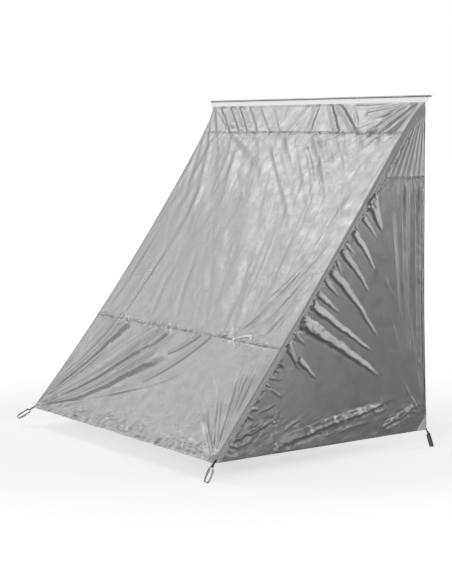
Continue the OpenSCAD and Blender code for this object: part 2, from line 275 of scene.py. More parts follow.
# Front folds. Paths are (x, distance down the slope); steepness scales the flank's tilt,
# and the last number is a width unless a column list says otherwise.
TOP_LEFT_CREASES = (    # x at the top seam, x at the upper seam, steepness, width
    (-0.985, -0.80, 3.0, 0.020), (-0.923, -0.640, 7.5, 0.021), (-0.815, -0.545, 8.5, 0.020),
    (-0.719, -0.455, 8.5, 0.021), (-0.610, -0.352, 5.0, 0.019), (-0.500, -0.235, 3.5, 0.018),
    (-0.36, -0.13, 2.0, 0.018))
TOP_MIDDLE_CREASES = (
    (((0.10, -0.01), (0.118, 0.11), (0.15, 0.235)), 4.0, 0.022),
    (((0.195, -0.01), (0.30, 0.11), (0.415, 0.235)), 6.5, 0.019),
    (((0.255, -0.01), (0.41, 0.10), (0.56, 0.222)), 7.5, 0.019),
    (((0.02, -0.01), (0, 0.1), (-0.05, 0.235)), 2.5, 0.024),
    (((0.47, 0.07), (0.53, 0.15), (0.575, 0.225)), 3.5, 0.014))
TOP_RIGHT_CREASES = (
    (((0.955, -0.012), (0.80, 0.088), (0.65, 0.236)), 11.0, 0.022),
    (((0.985, 0), (0.90, 0.12), (0.822, 0.236)), 8.5, 0.019),
    (((0.93, -0.012), (0.76, 0.05), (0.56, 0.09)), 6.0, 0.020),
    (((0.90, -0.01), (0.66, 0.022), (0.40, 0.028)), 4.5, 0.016),
    (((0.995, 0.03), (0.95, 0.13), (0.915, 0.24)), 4.0, 0.017))
LONG_CREASES = (
    (((-0.37, 0.235), (-0.25, 0.37), (-0.13, 0.52)), 3.4, 0.022),
    (((-0.08, 0.235), (0.09, 0.40), (0.27, 0.60)), 5.2, 0.026),
    (((0.185, 0.235), (0.39, 0.43), (0.54, 0.60), (0.74, 0.86)), 7.0, 0.030),
    (((0.41, 0.235), (0.58, 0.41), (0.74, 0.62)), 5.0, 0.024),
    (((0.585, 0.235), (0.66, 0.33), (0.73, 0.45)), 4.4, 0.022),
    (((-0.62, 0.235), (-0.55, 0.40), (-0.50, 0.66)), 3.4, 0.026),
    (((0.04, 0.25), (0.26, 0.50), (0.46, 0.72), (0.62, 0.96)), 3.8, 0.030),
    (((-0.80, 0.24), (-0.80, 0.5), (-0.80, 0.85)), 3.0, 0.024),
    (((-0.50, 0.36), (-0.40, 0.60), (-0.30, 0.92)), 3.4, 0.034),
    (((0.76, 0.25), (0.80, 0.42), (0.86, 0.66)), 3.2, 0.022))
LONG_STROKES = (    # path, height in mm before scaling, half width before scaling
    (((-0.22, 0.27), (0.02, 0.50), (0.26, 0.72), (0.53, 1.0)), 4.5, 0.024),
    (((0.10, 0.26), (0.34, 0.50), (0.62, 0.86)), 4.2, 0.022),
    (((-0.66, 0.60), (-0.60, 0.90), (-0.58, 1.2)), 2.8, 0.030),
    (((0.30, 0.25), (0.46, 0.42), (0.62, 0.62)), 3.6, 0.020))
LOWER_HOLLOWS = (    # path, depth in mm before scaling, half width
    (((-0.63, 1.05), (-0.645, 1.30), (-0.66, 1.66)), 5.5, 0.018),
    (((-0.33, 1.10), (-0.21, 1.42), (-0.085, 1.66)), 3.4, 0.022),
    (((-0.14, 1.15), (0.06, 1.43), (0.21, 1.66)), 2.8, 0.022),
    (((-0.84, 1.0), (-0.85, 1.3), (-0.86, 1.64)), 3.0, 0.020),
    (((0.20, 1.10), (0.34, 1.38), (0.48, 1.66)), 2.6, 0.024),
    (((0.86, 0.9), (0.74, 1.25), (0.55, 1.655)), 3.4, 0.022),
    (((0.89, 1.1), (0.80, 1.35), (0.66, 1.65)), 3.2, 0.018),
    (((0.90, 1.25), (0.85, 1.45), (0.76, 1.65)), 3.0, 0.015),
    (((-0.47, 1.2), (-0.42, 1.45), (-0.36, 1.66)), 2.6, 0.020))
TIE_HOLLOWS = (    # direction across and down the slope, length
    (0.55, -0.75, 0.30), (0.8, -0.55, 0.26), (0.95, -0.35, 0.22), (0.25, -0.9, 0.20),
    (-0.5, -0.8, 0.16))
ON_SEAM = LOWER_Y + 0.006
BOTTOM_CREASES = (    # path, width at its start and end, tilt
    (((-0.958, 2.38), (-0.824, 2.17), (-0.731, 2.047), (-0.65, 1.897), (-0.588, 1.789),
      (-0.535, ON_SEAM)), 0.016, 0.110, 0.140),
    (((-0.955, 2.388), (-0.701, 2.239), (-0.533, 2.113), (-0.409, 1.999), (-0.316, 1.912),
      (-0.181, 1.81), (-0.085, ON_SEAM)), 0.014, 0.098, 0.140),
    (((-0.95, 2.394), (-0.645, 2.287), (-0.456, 2.188), (-0.298, 2.077), (-0.163, 1.978),
      (-0.042, 1.897), (0.06, 1.815)), 0.016, 0.120, 0.165),
    (((-0.956, 2.3), (-0.839, 2.105), (-0.753, 1.973), (-0.69, 1.835), (-0.665, ON_SEAM)),
     0.008, 0.045, 0.10),
    (((-0.955, 2.26), (-0.9, 2.093), (-0.84, 1.967), (-0.765, 1.823), (-0.725, ON_SEAM)),
     0.006, 0.036, 0.08),
    (((-0.93, 2.345), (-0.76, 2.19), (-0.62, 2.04), (-0.5, 1.9), (-0.36, 1.77),
      (-0.28, ON_SEAM)), 0.006, 0.050, 0.06),
    (((-0.4, 2.05), (-0.25, 1.92), (-0.1, 1.79), (-0.02, ON_SEAM)), 0.012, 0.035, 0.09),
    (((0.02, 1.862), (0.12, 1.796), (0.226, LOWER_Y + 0.004)), 0.022, 0.034, 0.16),
    (((-0.05, 2.07), (0.099, 1.949), (0.228, 1.811), (0.315, LOWER_Y + 0.004)),
     0.030, 0.036, 0.12),
    (((-0.3, 2.19), (0.005, 2.084), (0.158, 2.012), (0.264, 1.925)), 0.030, 0.050, 0.055),
    (((-0.8, 2.345), (-0.412, 2.222), (-0.142, 2.138), (-0.002, 2.08)), 0.014, 0.050, 0.070))
BOTTOM_STROKES = (    # path, half width, height
    (((-0.93, 2.366), (-0.68, 2.258), (-0.5, 2.138), (-0.37, 2.024), (-0.27, 1.937),
      (-0.14, 1.835)), 0.013, 0.005),
    (((-0.94, 2.345), (-0.79, 2.18), (-0.69, 2.05), (-0.6, 1.905), (-0.52, 1.79)),
     0.012, 0.0036))
RIGHT_PEG_HOLLOWS = (    # x and y of the far end, depth, half width
    (0.60, 2.14, 0.0045, 0.017), (0.64, 1.98, 0.0050, 0.017), (0.70, 1.76, 0.0055, 0.017),
    (0.775, 1.72, 0.0050, 0.015), (0.845, 1.71, 0.0045, 0.013), (0.885, 1.70, 0.0035, 0.010))
LEFT_PEG, RIGHT_PEG = (-FRONT_HALF, SLOPE), (FRONT_HALF, SLOPE)
TIE_FOLD_X = 0.505
GATHER_X = 0.402    # a gathered spot beside the tie tapes


def top_strip_folds(folds):
    for top_x, low_x, steepness, width in TOP_LEFT_CREASES:
        path = ((top_x - 0.02, -0.02), ((top_x + low_x) / 2 + 0.006, UPPER_Y * 0.5),
                (low_x, UPPER_Y + 0.004))
        folds.facet(path, 1.3 * width, 1.6 * width, 0.028 * steepness,
                    rise=0.12, fall=0.12, steep=0.5)
    for path, steepness, width in TOP_MIDDLE_CREASES:
        folds.facet(path, 1.7 * width, 1.9 * width, 0.030 * steepness,
                    rise=0.05, fall=0.08, steep=0.45, ragged=0.06, turn=-1)
    for path, steepness, width in TOP_RIGHT_CREASES:
        folds.facet(path, 0.9 * width, 2.1 * width, 0.030 * steepness,
                    rise=0.03, fall=0.10, steep=0.40, ragged=0.04, taper=0.7)
    folds.stroke(((0.97, -0.005), (0.86, 0.095), (0.735, 0.236)), half_width=0.017,
                 height=0.006, rise=0.08, fall=0.15, start=0.6, end=1.3)


def main_panel_folds(folds):
    for path, steepness, width in LONG_CREASES:
        folds.facet(path, 1.5 * width, 1.1 * width, 0.019 * steepness,
                    rise=0.05, fall=0.55, steep=0.9)
    for path, height, half_width in LONG_STROKES:
        folds.stroke(path, 0.8 * half_width, 0.6 * height / 1000,
                     rise=0.2, fall=0.5, start=0.8, end=1.4)
    for path, depth, half_width in LOWER_HOLLOWS:
        folds.stroke(path, half_width, -0.6 * depth / 1000,
                     rise=0.4, fall=0.12, start=1.3, skew=-0.1)
    for out_x, out_y, length in TIE_HOLLOWS:
        path = ((TIE_FOLD_X + 0.01 * out_x, LOWER_Y - 0.01),
                (TIE_FOLD_X + out_x * length * 0.5, LOWER_Y + out_y * length * 0.5),
                (TIE_FOLD_X + out_x * length, LOWER_Y + out_y * length))
        folds.stroke(path, half_width=0.012, height=-0.0018,
                     rise=0.1, fall=0.6, start=0.6, end=1.6)
    for k in range(7):
        angle = math.radians(-160 + 24 * k)
        path = [(GATHER_X + radius * math.cos(angle), LOWER_Y - 0.010 + radius * math.sin(angle))
                for radius in (0.006, 0.05 + 0.018 * math.sin(2.3 * k))]
        folds.stroke(path, half_width=0.0062, height=0.003,
                     rise=0.1, fall=0.5, start=0.7, end=1.5)
    for shift in (-0.024, 0.022):
        middle = GATHER_X + shift
        folds.stroke(((middle - 0.012, LOWER_Y + 0.001), (middle + 0.012, LOWER_Y - 0.003)),
                     half_width=0.006, height=-0.005, fall=0.2)


def bottom_strip_folds(folds):
    for path, start, end, tilt in BOTTOM_CREASES:
        reaches_seam = path[-1][1] < LOWER_Y + 0.01
        folds.facet(path, start, end, tilt, rise=0.05, fall=0.04 if reaches_seam else 0.22,
                    steep=0.46, ragged=0.08)
    for path, half_width, height in BOTTOM_STROKES:
        folds.stroke(path, half_width, height, rise=0.15, start=0.5, end=1.4)
    folds.fan(LEFT_PEG, (-88, -4), count=26, height=0.0008, grow=0.35, fade=1.15, seed=31)
    folds.fan(RIGHT_PEG, (-178, -86), count=30, height=0.0034, grow=0.30, fade=0.85, seed=41)
    for x, y, depth, half_width in RIGHT_PEG_HOLLOWS:
        path = ((RIGHT_PEG[0] - 0.006, RIGHT_PEG[1] - 0.012),
                ((RIGHT_PEG[0] + x) / 2 - 0.012, (RIGHT_PEG[1] + y) / 2 - 0.02), (x, y))
        folds.stroke(path, half_width, -depth, fall=0.35, start=0.3, end=1.4)


def seam_puckers(folds):
    """Puckers along the top seam and the two seams across the front."""
    x, y, height = folds.x, folds.y, folds.height
    folds.pucker(x, y, 71, height=0.0032, length=0.026, reach=0.020)
    for seam_y, seed in ((UPPER_Y, 73), (LOWER_Y, 77)):
        below = y - seam_y
        folds.pucker(x, below, seed, height=0.0050, length=0.024, reach=0.016)
        folds.pucker(x, below - 0.003, seed + 2, height=0.0040, length=0.012, reach=0.007,
                     floor=0.4)
        # a groove that wanders between the two sides of the seam
        share = 0.5 + 0.5 * noise1(x / 0.05 + 11, seed + 4)
        if seam_y == LOWER_Y:
            share = share * (0.45 + 0.55 * smooth((x + 0.1) / 0.4))
        height -= (0.0022 * share * bell((below - 0.0105) / 0.0032)
                   + 0.0016 * (1 - share) * bell((below + 0.0105) / 0.0032))
        height += (0.0014 * crumple(x + 0.2 * y, y * 1.2, seed + 6, 0.034)
                   * np.exp(-np.abs(below - 0.02) / 0.05))
        if seam_y == LOWER_Y:
            height += (0.0046 * crumple(x, y * 1.3, seed + 8, 0.036) * bell(below / 0.026)
                       * (0.35 + 0.65 * smooth((0.1 - x) / 0.5)))


def front_folds(x, y):
    """Fold height over the front: x across, y down the slope from the top seam."""
    folds = Folds(x, y)
    height = folds.height
    top_strip_folds(folds)
    main_panel_folds(folds)
    bottom_strip_folds(folds)
    # fans from the top corners, and fine lines beside the right ridge
    folds.fan((-TOP_HALF, 0), (20, 92), count=16, height=0.0030, grow=0.25, fade=1.2, seed=51)
    folds.fan((TOP_HALF, 0), (88, 165), count=16, height=0.0030, grow=0.25, fade=1.0, seed=61)
    for i in range(11):
        draw = rng(700 + i).uniform(0, 1, 4)
        mid_x, mid_y = 0.93 - 0.16 * draw[0], 1.0 + 0.55 * draw[1]
        path = ((mid_x, mid_y - 0.35), (mid_x - 0.05 - 0.10 * draw[2], mid_y),
                (mid_x - 0.16 - 0.16 * draw[2], mid_y + 0.30))
        folds.stroke(path, 0.009 + 0.004 * draw[3], height=-0.0012, rise=0.4, fall=0.4)
    seam_puckers(folds)
    # crumpled band above the bottom hem
    height += (smooth((y - (SLOPE - 0.34)) / 0.26) * 0.0017
               * crumple(x + 0.3 * y, y * 1.9, 81, 0.09))
    height += smooth((y - (SLOPE - 0.15)) / 0.10) * (
        0.0060 * crumple(x + 0.5 * y, y * 1.4, 85, 0.105)
        + 0.0016 * crumple(x * 1.1, y * 1.2 + 0.3 * x, 87, 0.030))
    height += 0.030 * smooth((y - (SLOPE - 0.14)) / 0.28)
    folds.pucker(x, y - SLOPE, 83, height=0.0030, length=0.030, reach=0.040)
    # slow waves and soft creases everywhere
    height += 0.0045 * noise2(x * 2.2 + 5.0, y * 1.1 + 2.0, 91)
    lean = x - 0.40 * y * bell((x - 0.15) / 0.55)
    upper = smooth((y - UPPER_Y) / 0.08) * smooth((LOWER_Y - y) / 0.35 + 0.35)
    height += upper * (0.0025 * noise2(lean * 9.5 + 3.0, y * 1.15 + 4.0, 93)
                       + 0.0010 * noise2(lean * 24 + 3.0, y * 2.6 + 4.0, 94))
    height += 0.0006 * noise2((x + 0.2 * y) * 16 + 3.0, y * 4.2 + 4.0, 96)
    quiet = 0.35 + 0.65 * smooth(np.abs(noise2(x * 3 + 8, y * 3 + 1, 98)) / 0.4)
    height += quiet * 0.0008 * crumple(x - 0.35 * y, y * 0.6, 95, 0.055)
    # held still at the top seam, the ridges, the corners and the tie tapes' pad
    edge = ridge_x(np.clip(y / SLOPE, 0, 1))
    height *= smooth((y + 0.002) / 0.035) * smooth((edge - np.abs(x)) / 0.055)
    for peg in (LEFT_PEG, RIGHT_PEG):
        height *= smooth(np.hypot(x - peg[0], y - peg[1]) / 0.06)
    height *= 1 - 0.8 * np.exp(-(((x - 0.512) ** 2 + (y - LOWER_Y) ** 2) / 0.020**2))
    return height


# Side wall folds. Paths are world (y, z).
SIDE_STREAKS = (    # path, width of the broad flank
    (((0.372, 1.432), (0.412, 1.35), (0.452, 1.262)), 0.036),
    (((0.337, 1.331), (0.385, 1.275), (0.425, 1.215)), 0.015),
    (((0.263, 1.253), (0.335, 1.16), (0.41, 1.035)), 0.022),
    (((0.216, 1.196), (0.245, 1.168), (0.278, 1.134)), 0.012),
    (((0.175, 1.16), (0.275, 1.05), (0.37, 0.905)), 0.024),
    (((0.141, 1.106), (0.16, 1.065), (0.184, 1.018)), 0.012),
    (((0.1, 1.054), (0.222, 0.926), (0.335, 0.78), (0.44, 0.64)), 0.027),
    (((0.066, 1.004), (0.108, 0.962), (0.154, 0.916)), 0.018),
    (((0.018, 0.932), (0.088, 0.878), (0.164, 0.822)), 0.020),
    (((-0.029, 0.873), (0.19, 0.722), (0.41, 0.572)), 0.026),
    (((-0.103, 0.783), (0.11, 0.655), (0.3, 0.536), (0.46, 0.422)), 0.038),
    (((-0.15, 0.728), (-0.115, 0.698), (-0.076, 0.664)), 0.015),
    (((-0.204, 0.662), (-0.172, 0.6), (-0.134, 0.538)), 0.026),
    (((-0.125, 0.58), (-0.072, 0.528), (-0.016, 0.474)), 0.022))
REAR_RIPPLES = (    # path, width at its start and end, tilt
    (((0.622, 1.56), (0.628, 1.082), (0.65, 0.76), (0.68, 0.5)), 0.024, 0.014, 0.36),
    (((0.716, 1.57), (0.726, 1.077), (0.742, 0.519), (0.77, 0.17)), 0.027, 0.020, 0.40),
    (((0.54, 1.45), (0.56, 1.15), (0.585, 0.85)), 0.018, 0.008, 0.22),
    (((0.66, 0.86), (0.712, 0.519), (0.757, 0.17)), 0.014, 0.006, 0.26),
    (((0.472, 1.044), (0.5, 0.98), (0.53, 0.915)), 0.012, 0.006, 0.2),
    (((0.6, 0.42), (0.68, 0.29), (0.757, 0.16)), 0.015, 0.006, 0.34),
    (((0.56, 0.98), (0.612, 0.74), (0.66, 0.52)), 0.013, 0.005, 0.18),
    (((0.50, 0.84), (0.575, 0.62), (0.64, 0.44)), 0.013, 0.005, 0.16))
TOP_GATHERS = (    # share of the wall's width at the top and at the side seam, width
    (0.20, 0.17, 0.014), (0.32, 0.30, 0.011), (0.45, 0.42, 0.015), (0.56, 0.55, 0.011),
    (0.68, 0.67, 0.016), (0.80, 0.79, 0.013), (0.90, 0.905, 0.012))
HEM_CREASES = (    # path, width at its start and end, tilt
    (((0.48, 0.3), (0.3, 0.262), (0.06, 0.222), (-0.12, 0.184), (-0.3, 0.15)),
     0.024, 0.036, 0.42),
    (((0.70, 0.262), (0.56, 0.2), (0.42, 0.156)), 0.022, 0.020, 0.40),
    (((0.36, 0.205), (0.15, 0.18), (-0.02, 0.152)), 0.016, 0.008, 0.20),
    (((-0.225, 0.582), (-0.265, 0.574), (-0.304, 0.556)), 0.014, 0.010, 0.30),
    (((-0.255, 0.398), (-0.3, 0.436), (-0.345, 0.462)), 0.016, 0.008, 0.32),
    (((-0.3, 0.372), (-0.36, 0.352), (-0.43, 0.34)), 0.012, 0.008, 0.28),
    (((-0.3, 0.29), (-0.42, 0.252), (-0.53, 0.222)), 0.014, 0.008, 0.26),
    (((-0.14, 0.268), (-0.2, 0.252), (-0.25, 0.216)), 0.014, 0.008, 0.28))
CRUMPLED_LINES = (    # y and z of the start, y and z of the end, reach
    (-0.30, 0.150, 0.48, 0.290, 0.040), (0.42, 0.150, 0.69, 0.250, 0.045),
    (-0.58, 0.20, -0.30, 0.30, 0.03))


def wall_streaks(folds, draws, mirrored):
    """Streaks behind the ridge, rear ripples and short gathers off the ridge seam."""
    for stations, width in SIDE_STREAKS:
        shift = draws.uniform(-1, 1, 4) * (0.03 if mirrored else 0.0)
        scale = 0.75 + 0.4 * draws.uniform() if mirrored else 1.0
        path = np.array(stations) + (shift[0], shift[1] + 0.02 * shift[2])
        path[0] -= 0.030 * unit(path[1] - path[0])
        folds.facet(path, 1.45 * width * scale, width * 0.40, tilt=0.36,
                    rise=0.05, fall=0.22, steep=0.35, ragged=0.16, turn=-1)
    for i, (stations, start, end, tilt) in enumerate(REAR_RIPPLES):
        shift = draws.uniform(-1, 1, 2) * (0.012 if mirrored else 0.0)
        folds.facet(np.array(stations) + (shift[0], 0), start, end, tilt,
                    rise=0.07 if i < 2 else 0.40, fall=0.10, steep=0.45, ragged=0.06)
    for i in range(64):
        draw = draws.uniform(0, 1, 5)
        level = 0.10 + 0.88 * (i + draw[0]) / 64
        y, z = slope_y(level) + 0.028, level_z(level)
        length = (0.02 + 0.06 * draw[1] ** 2) * (1.25 if level > 0.7 else 1.0)
        angle = math.radians(-58 + 30 * draw[2] + (22 if level > 0.75 else 0))
        path = [(y + length * math.cos(angle) * part, z + length * math.sin(angle) * part)
                for part in (0, 0.5, 1)]
        height = (2.0 + 2.6 * draw[4]) / 1000 * (1 if draw[4] > 0.25 else -1)
        folds.stroke(path, 0.006 + 0.004 * draw[3], height, rise=0.1, fall=0.6, end=0.7)


def top_panel_gathers(folds):
    """Gathers that converge on the top corner and die out below the side seam."""
    for k, (top_share, low_share, width) in enumerate(TOP_GATHERS):
        stations = ((0.035, top_share), (0.10, (top_share + low_share) / 2),
                    (0.17, low_share), (0.2265, low_share))
        path = [(slope_y(level) + share * (rear_y(level) - slope_y(level)), level_z(level))
                for level, share in stations]
        folds.facet(path, width * 0.6, width * 1.3, tilt=0.27, rise=0.10, fall=0.02, steep=0.6)
        y = path[-1][0]
        path = ((y, SIDE_SEAM_Z - 0.004), (y + 0.004, SIDE_SEAM_Z - 0.06),
                (y + 0.010, SIDE_SEAM_Z - 0.13 - 0.02 * (k % 3)))
        folds.facet(path, width * 1.2, width * 0.6, tilt=0.09, rise=0.05, fall=0.7, steep=0.7)


def side_folds(y, z, level, behind, seed, mirrored):
    """Fold height over a side wall: world y and z, and the distance behind the ridge."""
    folds = Folds(y, z)
    height = folds.height
    draws = rng(seed)
    width = side_width(level)
    wall_streaks(folds, draws, mirrored)
    top_panel_gathers(folds)
    share = behind / np.maximum(width, 0.03)
    height += ((1 - smooth((z - 1.572) / 0.02)) * 0.0022
               * noise1(share * 9.5 + 1.3, seed + 6) * smooth((z - 1.20) / 0.36))
    # crumpled band above the hem, and short folds out of the front corner
    shift = 0.03 * draws.uniform(-1, 1) if mirrored else 0.0
    for stations, start, end, tilt in HEM_CREASES:
        folds.facet(np.array(stations) + (shift, 0), start, end, tilt,
                    rise=0.24, fall=0.25, steep=0.5, ragged=0.16)
    for start_y, start_z, end_y, end_z, reach in CRUMPLED_LINES:
        run_y, run_z = end_y - start_y, end_z - start_z
        length = math.hypot(run_y, run_z)
        along = np.clip(((y - start_y) * run_y + (z - start_z) * run_z) / length, 0, length)
        distance = np.hypot(y - start_y - run_y / length * along,
                            z - start_z - run_z / length * along)
        creases = crumple(y * 0.9 + 0.5 * z, z * 1.5 - 0.4 * y, seed + 28, 0.058)
        height += 0.0052 * creases * bell(distance / reach)
    height += (smooth((0.36 - z) / 0.18) * 0.0016
               * crumple(y + 0.4 * z, z * 1.8 - 0.3 * y, seed + 8, 0.075))
    # puckers at the bottom hem, side seam, ridge seam (two sizes) and rear hem
    folds.pucker(y, z - LIFT, seed + 10, height=0.0022, length=0.026, reach=0.030)
    folds.pucker(y, z - SIDE_SEAM_Z, seed + 12, height=0.0026, length=0.016, reach=0.014)
    along, past_wrap = level * SLOPE, behind - WRAP
    folds.pucker(along, past_wrap, seed + 14, height=0.0030, length=0.017, reach=0.012, floor=0.5)
    folds.pucker(along, past_wrap, seed + 16, height=0.0014, length=0.008, reach=0.007, floor=0.5)
    folds.pucker(z, width - behind, seed + 18, height=0.0020, length=0.034, reach=0.020)
    # slow waves and soft creases
    height += 0.0040 * noise2(y * 2.6 + 1.0, z * 1.5 + 6.0, seed + 20) * smooth(width / 0.3)
    height += 0.0012 * noise2((y + 0.7 * z) * 9.0, (z - 0.5 * y) * 2.2, seed + 22)
    height += 0.0005 * crumple(y + 0.5 * z, z * 0.7, seed + 24, 0.06)
    # held still at the edges and the bottom corners
    height *= smooth((behind - 0.004) / 0.022) * smooth((1 - level) / 0.006 + 0.55)
    height *= smooth(level / 0.03) * smooth((width - behind) / 0.012 + 0.45)
    for corner_y in (FRONT_Y, SEAM_Y + REAR_SET):
        height *= smooth(np.hypot(y - corner_y, z - LIFT) / 0.07)
    return height


# ------------------------------------------------------------------ cloth surfaces
def base_point(level, across):
    """The unfolded cloth, across metres from the middle along the front and round the ridge."""
    edge_x, edge_y = ridge_x(level), slope_y(level)
    width = np.maximum(side_width(level), 1e-4)
    dir_x, dir_y = (rear_x(level) - edge_x) / width, (rear_y(level) - edge_y) / width
    distance = np.abs(across)
    past = distance - edge_x
    half = np.minimum(ROUND, 0.45 * width)
    t = np.clip((past + half) / (2 * half), 0, 1)
    round_x = ((1 - t) ** 2 * (edge_x - half) + 2 * t * (1 - t) * edge_x
               + t * t * (edge_x + half * dir_x))
    round_y = (1 - t) ** 2 * edge_y + 2 * t * (1 - t) * edge_y + t * t * (edge_y + half * dir_y)
    on_front, on_side = past <= -half, past >= half
    x = np.where(on_front, distance, np.where(on_side, edge_x + dir_x * past, round_x))
    y = np.where(on_front, edge_y, np.where(on_side, edge_y + dir_y * past, round_y))
    return np.stack([np.sign(across + (across == 0)) * x, y, level_z(level)], -1)


def surface_normals(points, flip=False):
    normals = np.cross(np.gradient(points, axis=0), np.gradient(points, axis=1))
    normals /= np.maximum(np.linalg.norm(normals, axis=-1, keepdims=True), 1e-12)
    return -normals if flip else normals


def shell(points, normals, top, bottom, uv):
    """A closed shell between points + normals * top and points + normals * bottom."""
    rows, cols = points.shape[:2]
    layers = [points + normals * np.broadcast_to(offset, (rows, cols))[..., None]
              for offset in (top, bottom)]
    verts = np.concatenate([layer.reshape(-1, 3) for layer in layers])
    i, j = np.meshgrid(np.arange(rows - 1), np.arange(cols - 1), indexing="ij")
    first = (i * cols + j).ravel()
    faces = np.stack([first, first + 1, first + cols + 1, first + cols], -1)
    count = rows * cols
    rim = np.concatenate([np.arange(cols), np.arange(1, rows) * cols + cols - 1,
                          (rows - 1) * cols + np.arange(cols - 2, -1, -1),
                          np.arange(rows - 2, 0, -1) * cols])
    after = np.roll(rim, -1)
    sides = np.stack([rim, rim + count, after + count, after], -1)
    # wind the outer faces with the normals
    i, j = rows // 2, cols // 2
    down = points[i + 1, j] - points[i - 1, j]
    over = points[i, j + 1] - points[i, j - 1]
    if np.dot(np.cross(over, down), normals[i, j]) <= 0:
        faces, sides = faces[:, ::-1], sides[:, ::-1]
    faces = np.concatenate([faces, faces[:, ::-1] + count, sides])
    return verts, faces, np.concatenate([uv.reshape(-1, 2)] * 2)


class Sheet:
    """A folded cloth surface: rows by level, columns by a parameter across it."""

    def __init__(self, level, column, points, normals, uv):
        self.level, self.column = level, column
        self.points, self.normals, self.uv = points, normals, uv

    def row(self, level):
        return int(np.argmin(np.abs(self.level - level)))

    def at(self, level, column):
        """Points, normals and UVs between the grid's own."""
        level, column = np.broadcast_arrays(np.asarray(level, float), np.asarray(column, float))
        row = np.interp(level, self.level, np.arange(len(self.level)))
        col = np.interp(column, self.column, np.arange(len(self.column)))
        i = np.minimum(row.astype(int), len(self.level) - 2)
        j = np.minimum(col.astype(int), len(self.column) - 2)
        down, over = (row - i)[..., None], (col - j)[..., None]
        found = []
        for grid in (self.points, self.normals, self.uv):
            near = grid[i, j] * (1 - down) + grid[i + 1, j] * down
            far = grid[i, j + 1] * (1 - down) + grid[i + 1, j + 1] * down
            found.append(near * (1 - over) + far * over)
        found[1] /= np.linalg.norm(found[1], axis=-1, keepdims=True)
        return found

    def band(self, level, column, top, bottom):
        points, normals, uv = self.at(level, column)
        return shell(points, normals, top, bottom, uv)


def wrap_column(past):
    """Front column at a distance past the ridge."""
    return 1 + (past + ROUND) / (ROUND + WRAP)


def front_column(level, across):
    edge, distance = ridge_x(level), np.abs(across)
    column = np.where(distance <= edge - ROUND, distance / (edge - ROUND),
                      wrap_column(distance - edge))
    return np.sign(across) * column


def front_sheet():
    rows = np.concatenate([np.linspace(0.0008, 1, 441), [UPPER_SEAM, LOWER_SEAM]])
    rows = np.unique(np.round(rows, 7))
    wrapped = wrap_column(np.linspace(-ROUND + 0.0035, WRAP, 16))
    columns = np.concatenate([-wrapped[::-1], np.linspace(-1, 1, 301), wrapped])
    level, column = np.meshgrid(rows, columns, indexing="ij")
    edge = ridge_x(level)
    past = (np.abs(column) - 1) * (ROUND + WRAP) - ROUND
    past = np.minimum(past, 0.8 * side_width(level))
    across = np.where(np.abs(column) <= 1, column * (edge - ROUND),
                      np.sign(column) * (edge + past))
    points = base_point(level, across)
    down = level * SLOPE
    height = front_folds(across, down)
    # small gathers on the wrapped edge
    wrapped_part = smooth((np.abs(across) - edge - 0.006) / 0.016)
    height += wrapped_part * 0.0012 * noise1(down / 0.016 + 30 * (column > 0), 301)
    points = points + surface_normals(points) * height[..., None]
    return Sheet(rows, columns, points, surface_normals(points), np.stack([across, -down], -1))


def side_sheet(sign):
    rows = np.concatenate([0.013 + 0.987 * np.linspace(0, 1, 340), [SIDE_SEAM]])
    rows = np.unique(np.round(rows, 7))
    columns = np.linspace(0, 1, 230)
    level, column = np.meshgrid(rows, columns, indexing="ij")
    width = side_width(level)
    start = np.minimum(SIDE_START, 0.62 * width)
    behind = start + column * (width - start)
    points = base_point(level, ridge_x(level) + behind)
    height = side_folds(points[..., 1], points[..., 2], level, behind,
                        seed=400 if sign > 0 else 600, mirrored=sign < 0)
    points = points + surface_normals(points) * height[..., None]
    points[..., 0] *= sign
    uv = np.stack([behind * sign, points[..., 2]], -1)
    return Sheet(rows, columns, points, surface_normals(points, sign < 0), uv)


FRONT = front_sheet()
SIDES = (("right", 1, side_sheet(1)), ("left", -1, side_sheet(-1)))


# ------------------------------------------------------------------ meshes
def make(name, verts, faces, materials, uv=None, sharp_angle=40, index=None):
    mesh = bpy.data.meshes.new(name)
    mesh.from_pydata([tuple(vert) for vert in verts], [], [tuple(face) for face in faces])
    mesh.update()
    obj = bpy.data.objects.new(name, mesh)
    bpy.context.scene.collection.objects.link(obj)
    for material in (materials if isinstance(materials, list) else [materials]):
        mesh.materials.append(material)
    if index is not None:
        mesh.polygons.foreach_set("material_index", np.asarray(index, np.int32))
    if uv is not None:
        layer = mesh.uv_layers.new(name="dev")
        corners = np.empty(len(mesh.loops), np.int32)
        mesh.loops.foreach_get("vertex_index", corners)
        layer.data.foreach_set("uv", np.asarray(uv, np.float32)[corners].ravel())
    mesh.polygons.foreach_set("use_smooth", np.ones(len(mesh.polygons), bool))
    mesh.set_sharp_from_angle(angle=math.radians(sharp_angle))
    mesh.validate()
    return obj


def merge(parts):
    verts, faces, uvs, count = [], [], [], 0
    for part_verts, part_faces, uv in parts:
        verts.append(part_verts)
        faces.extend([i + count for i in face] for face in part_faces)
        uvs.append(uv if uv is not None else np.zeros((len(part_verts), 2)))
        count += len(part_verts)
    return np.concatenate(verts), faces, np.concatenate(uvs)


def make_pair(name, parts, materials, sharp_angle=40):
    """One object: the first part in the first material, the rest in the second."""
    verts, faces, uv = merge(parts)
    first = len(parts[0][1])
    index = [0] * first + [1] * (len(faces) - first)
    return make(name, verts, faces, materials, uv, sharp_angle, index)


def make_stitching(name, parts):
    verts, faces, _ = merge(parts)
    return make(name, verts, faces, thread, sharp_angle=60)


def fix_normals(obj):
    mesh = bmesh.new()
    mesh.from_mesh(obj.data)
    bmesh.ops.recalc_face_normals(mesh, faces=mesh.faces)
    mesh.to_mesh(obj.data)
    mesh.free()
    return obj


def place(obj, body, slot, node=None):
    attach(obj, body)
    if node:
        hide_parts(node)


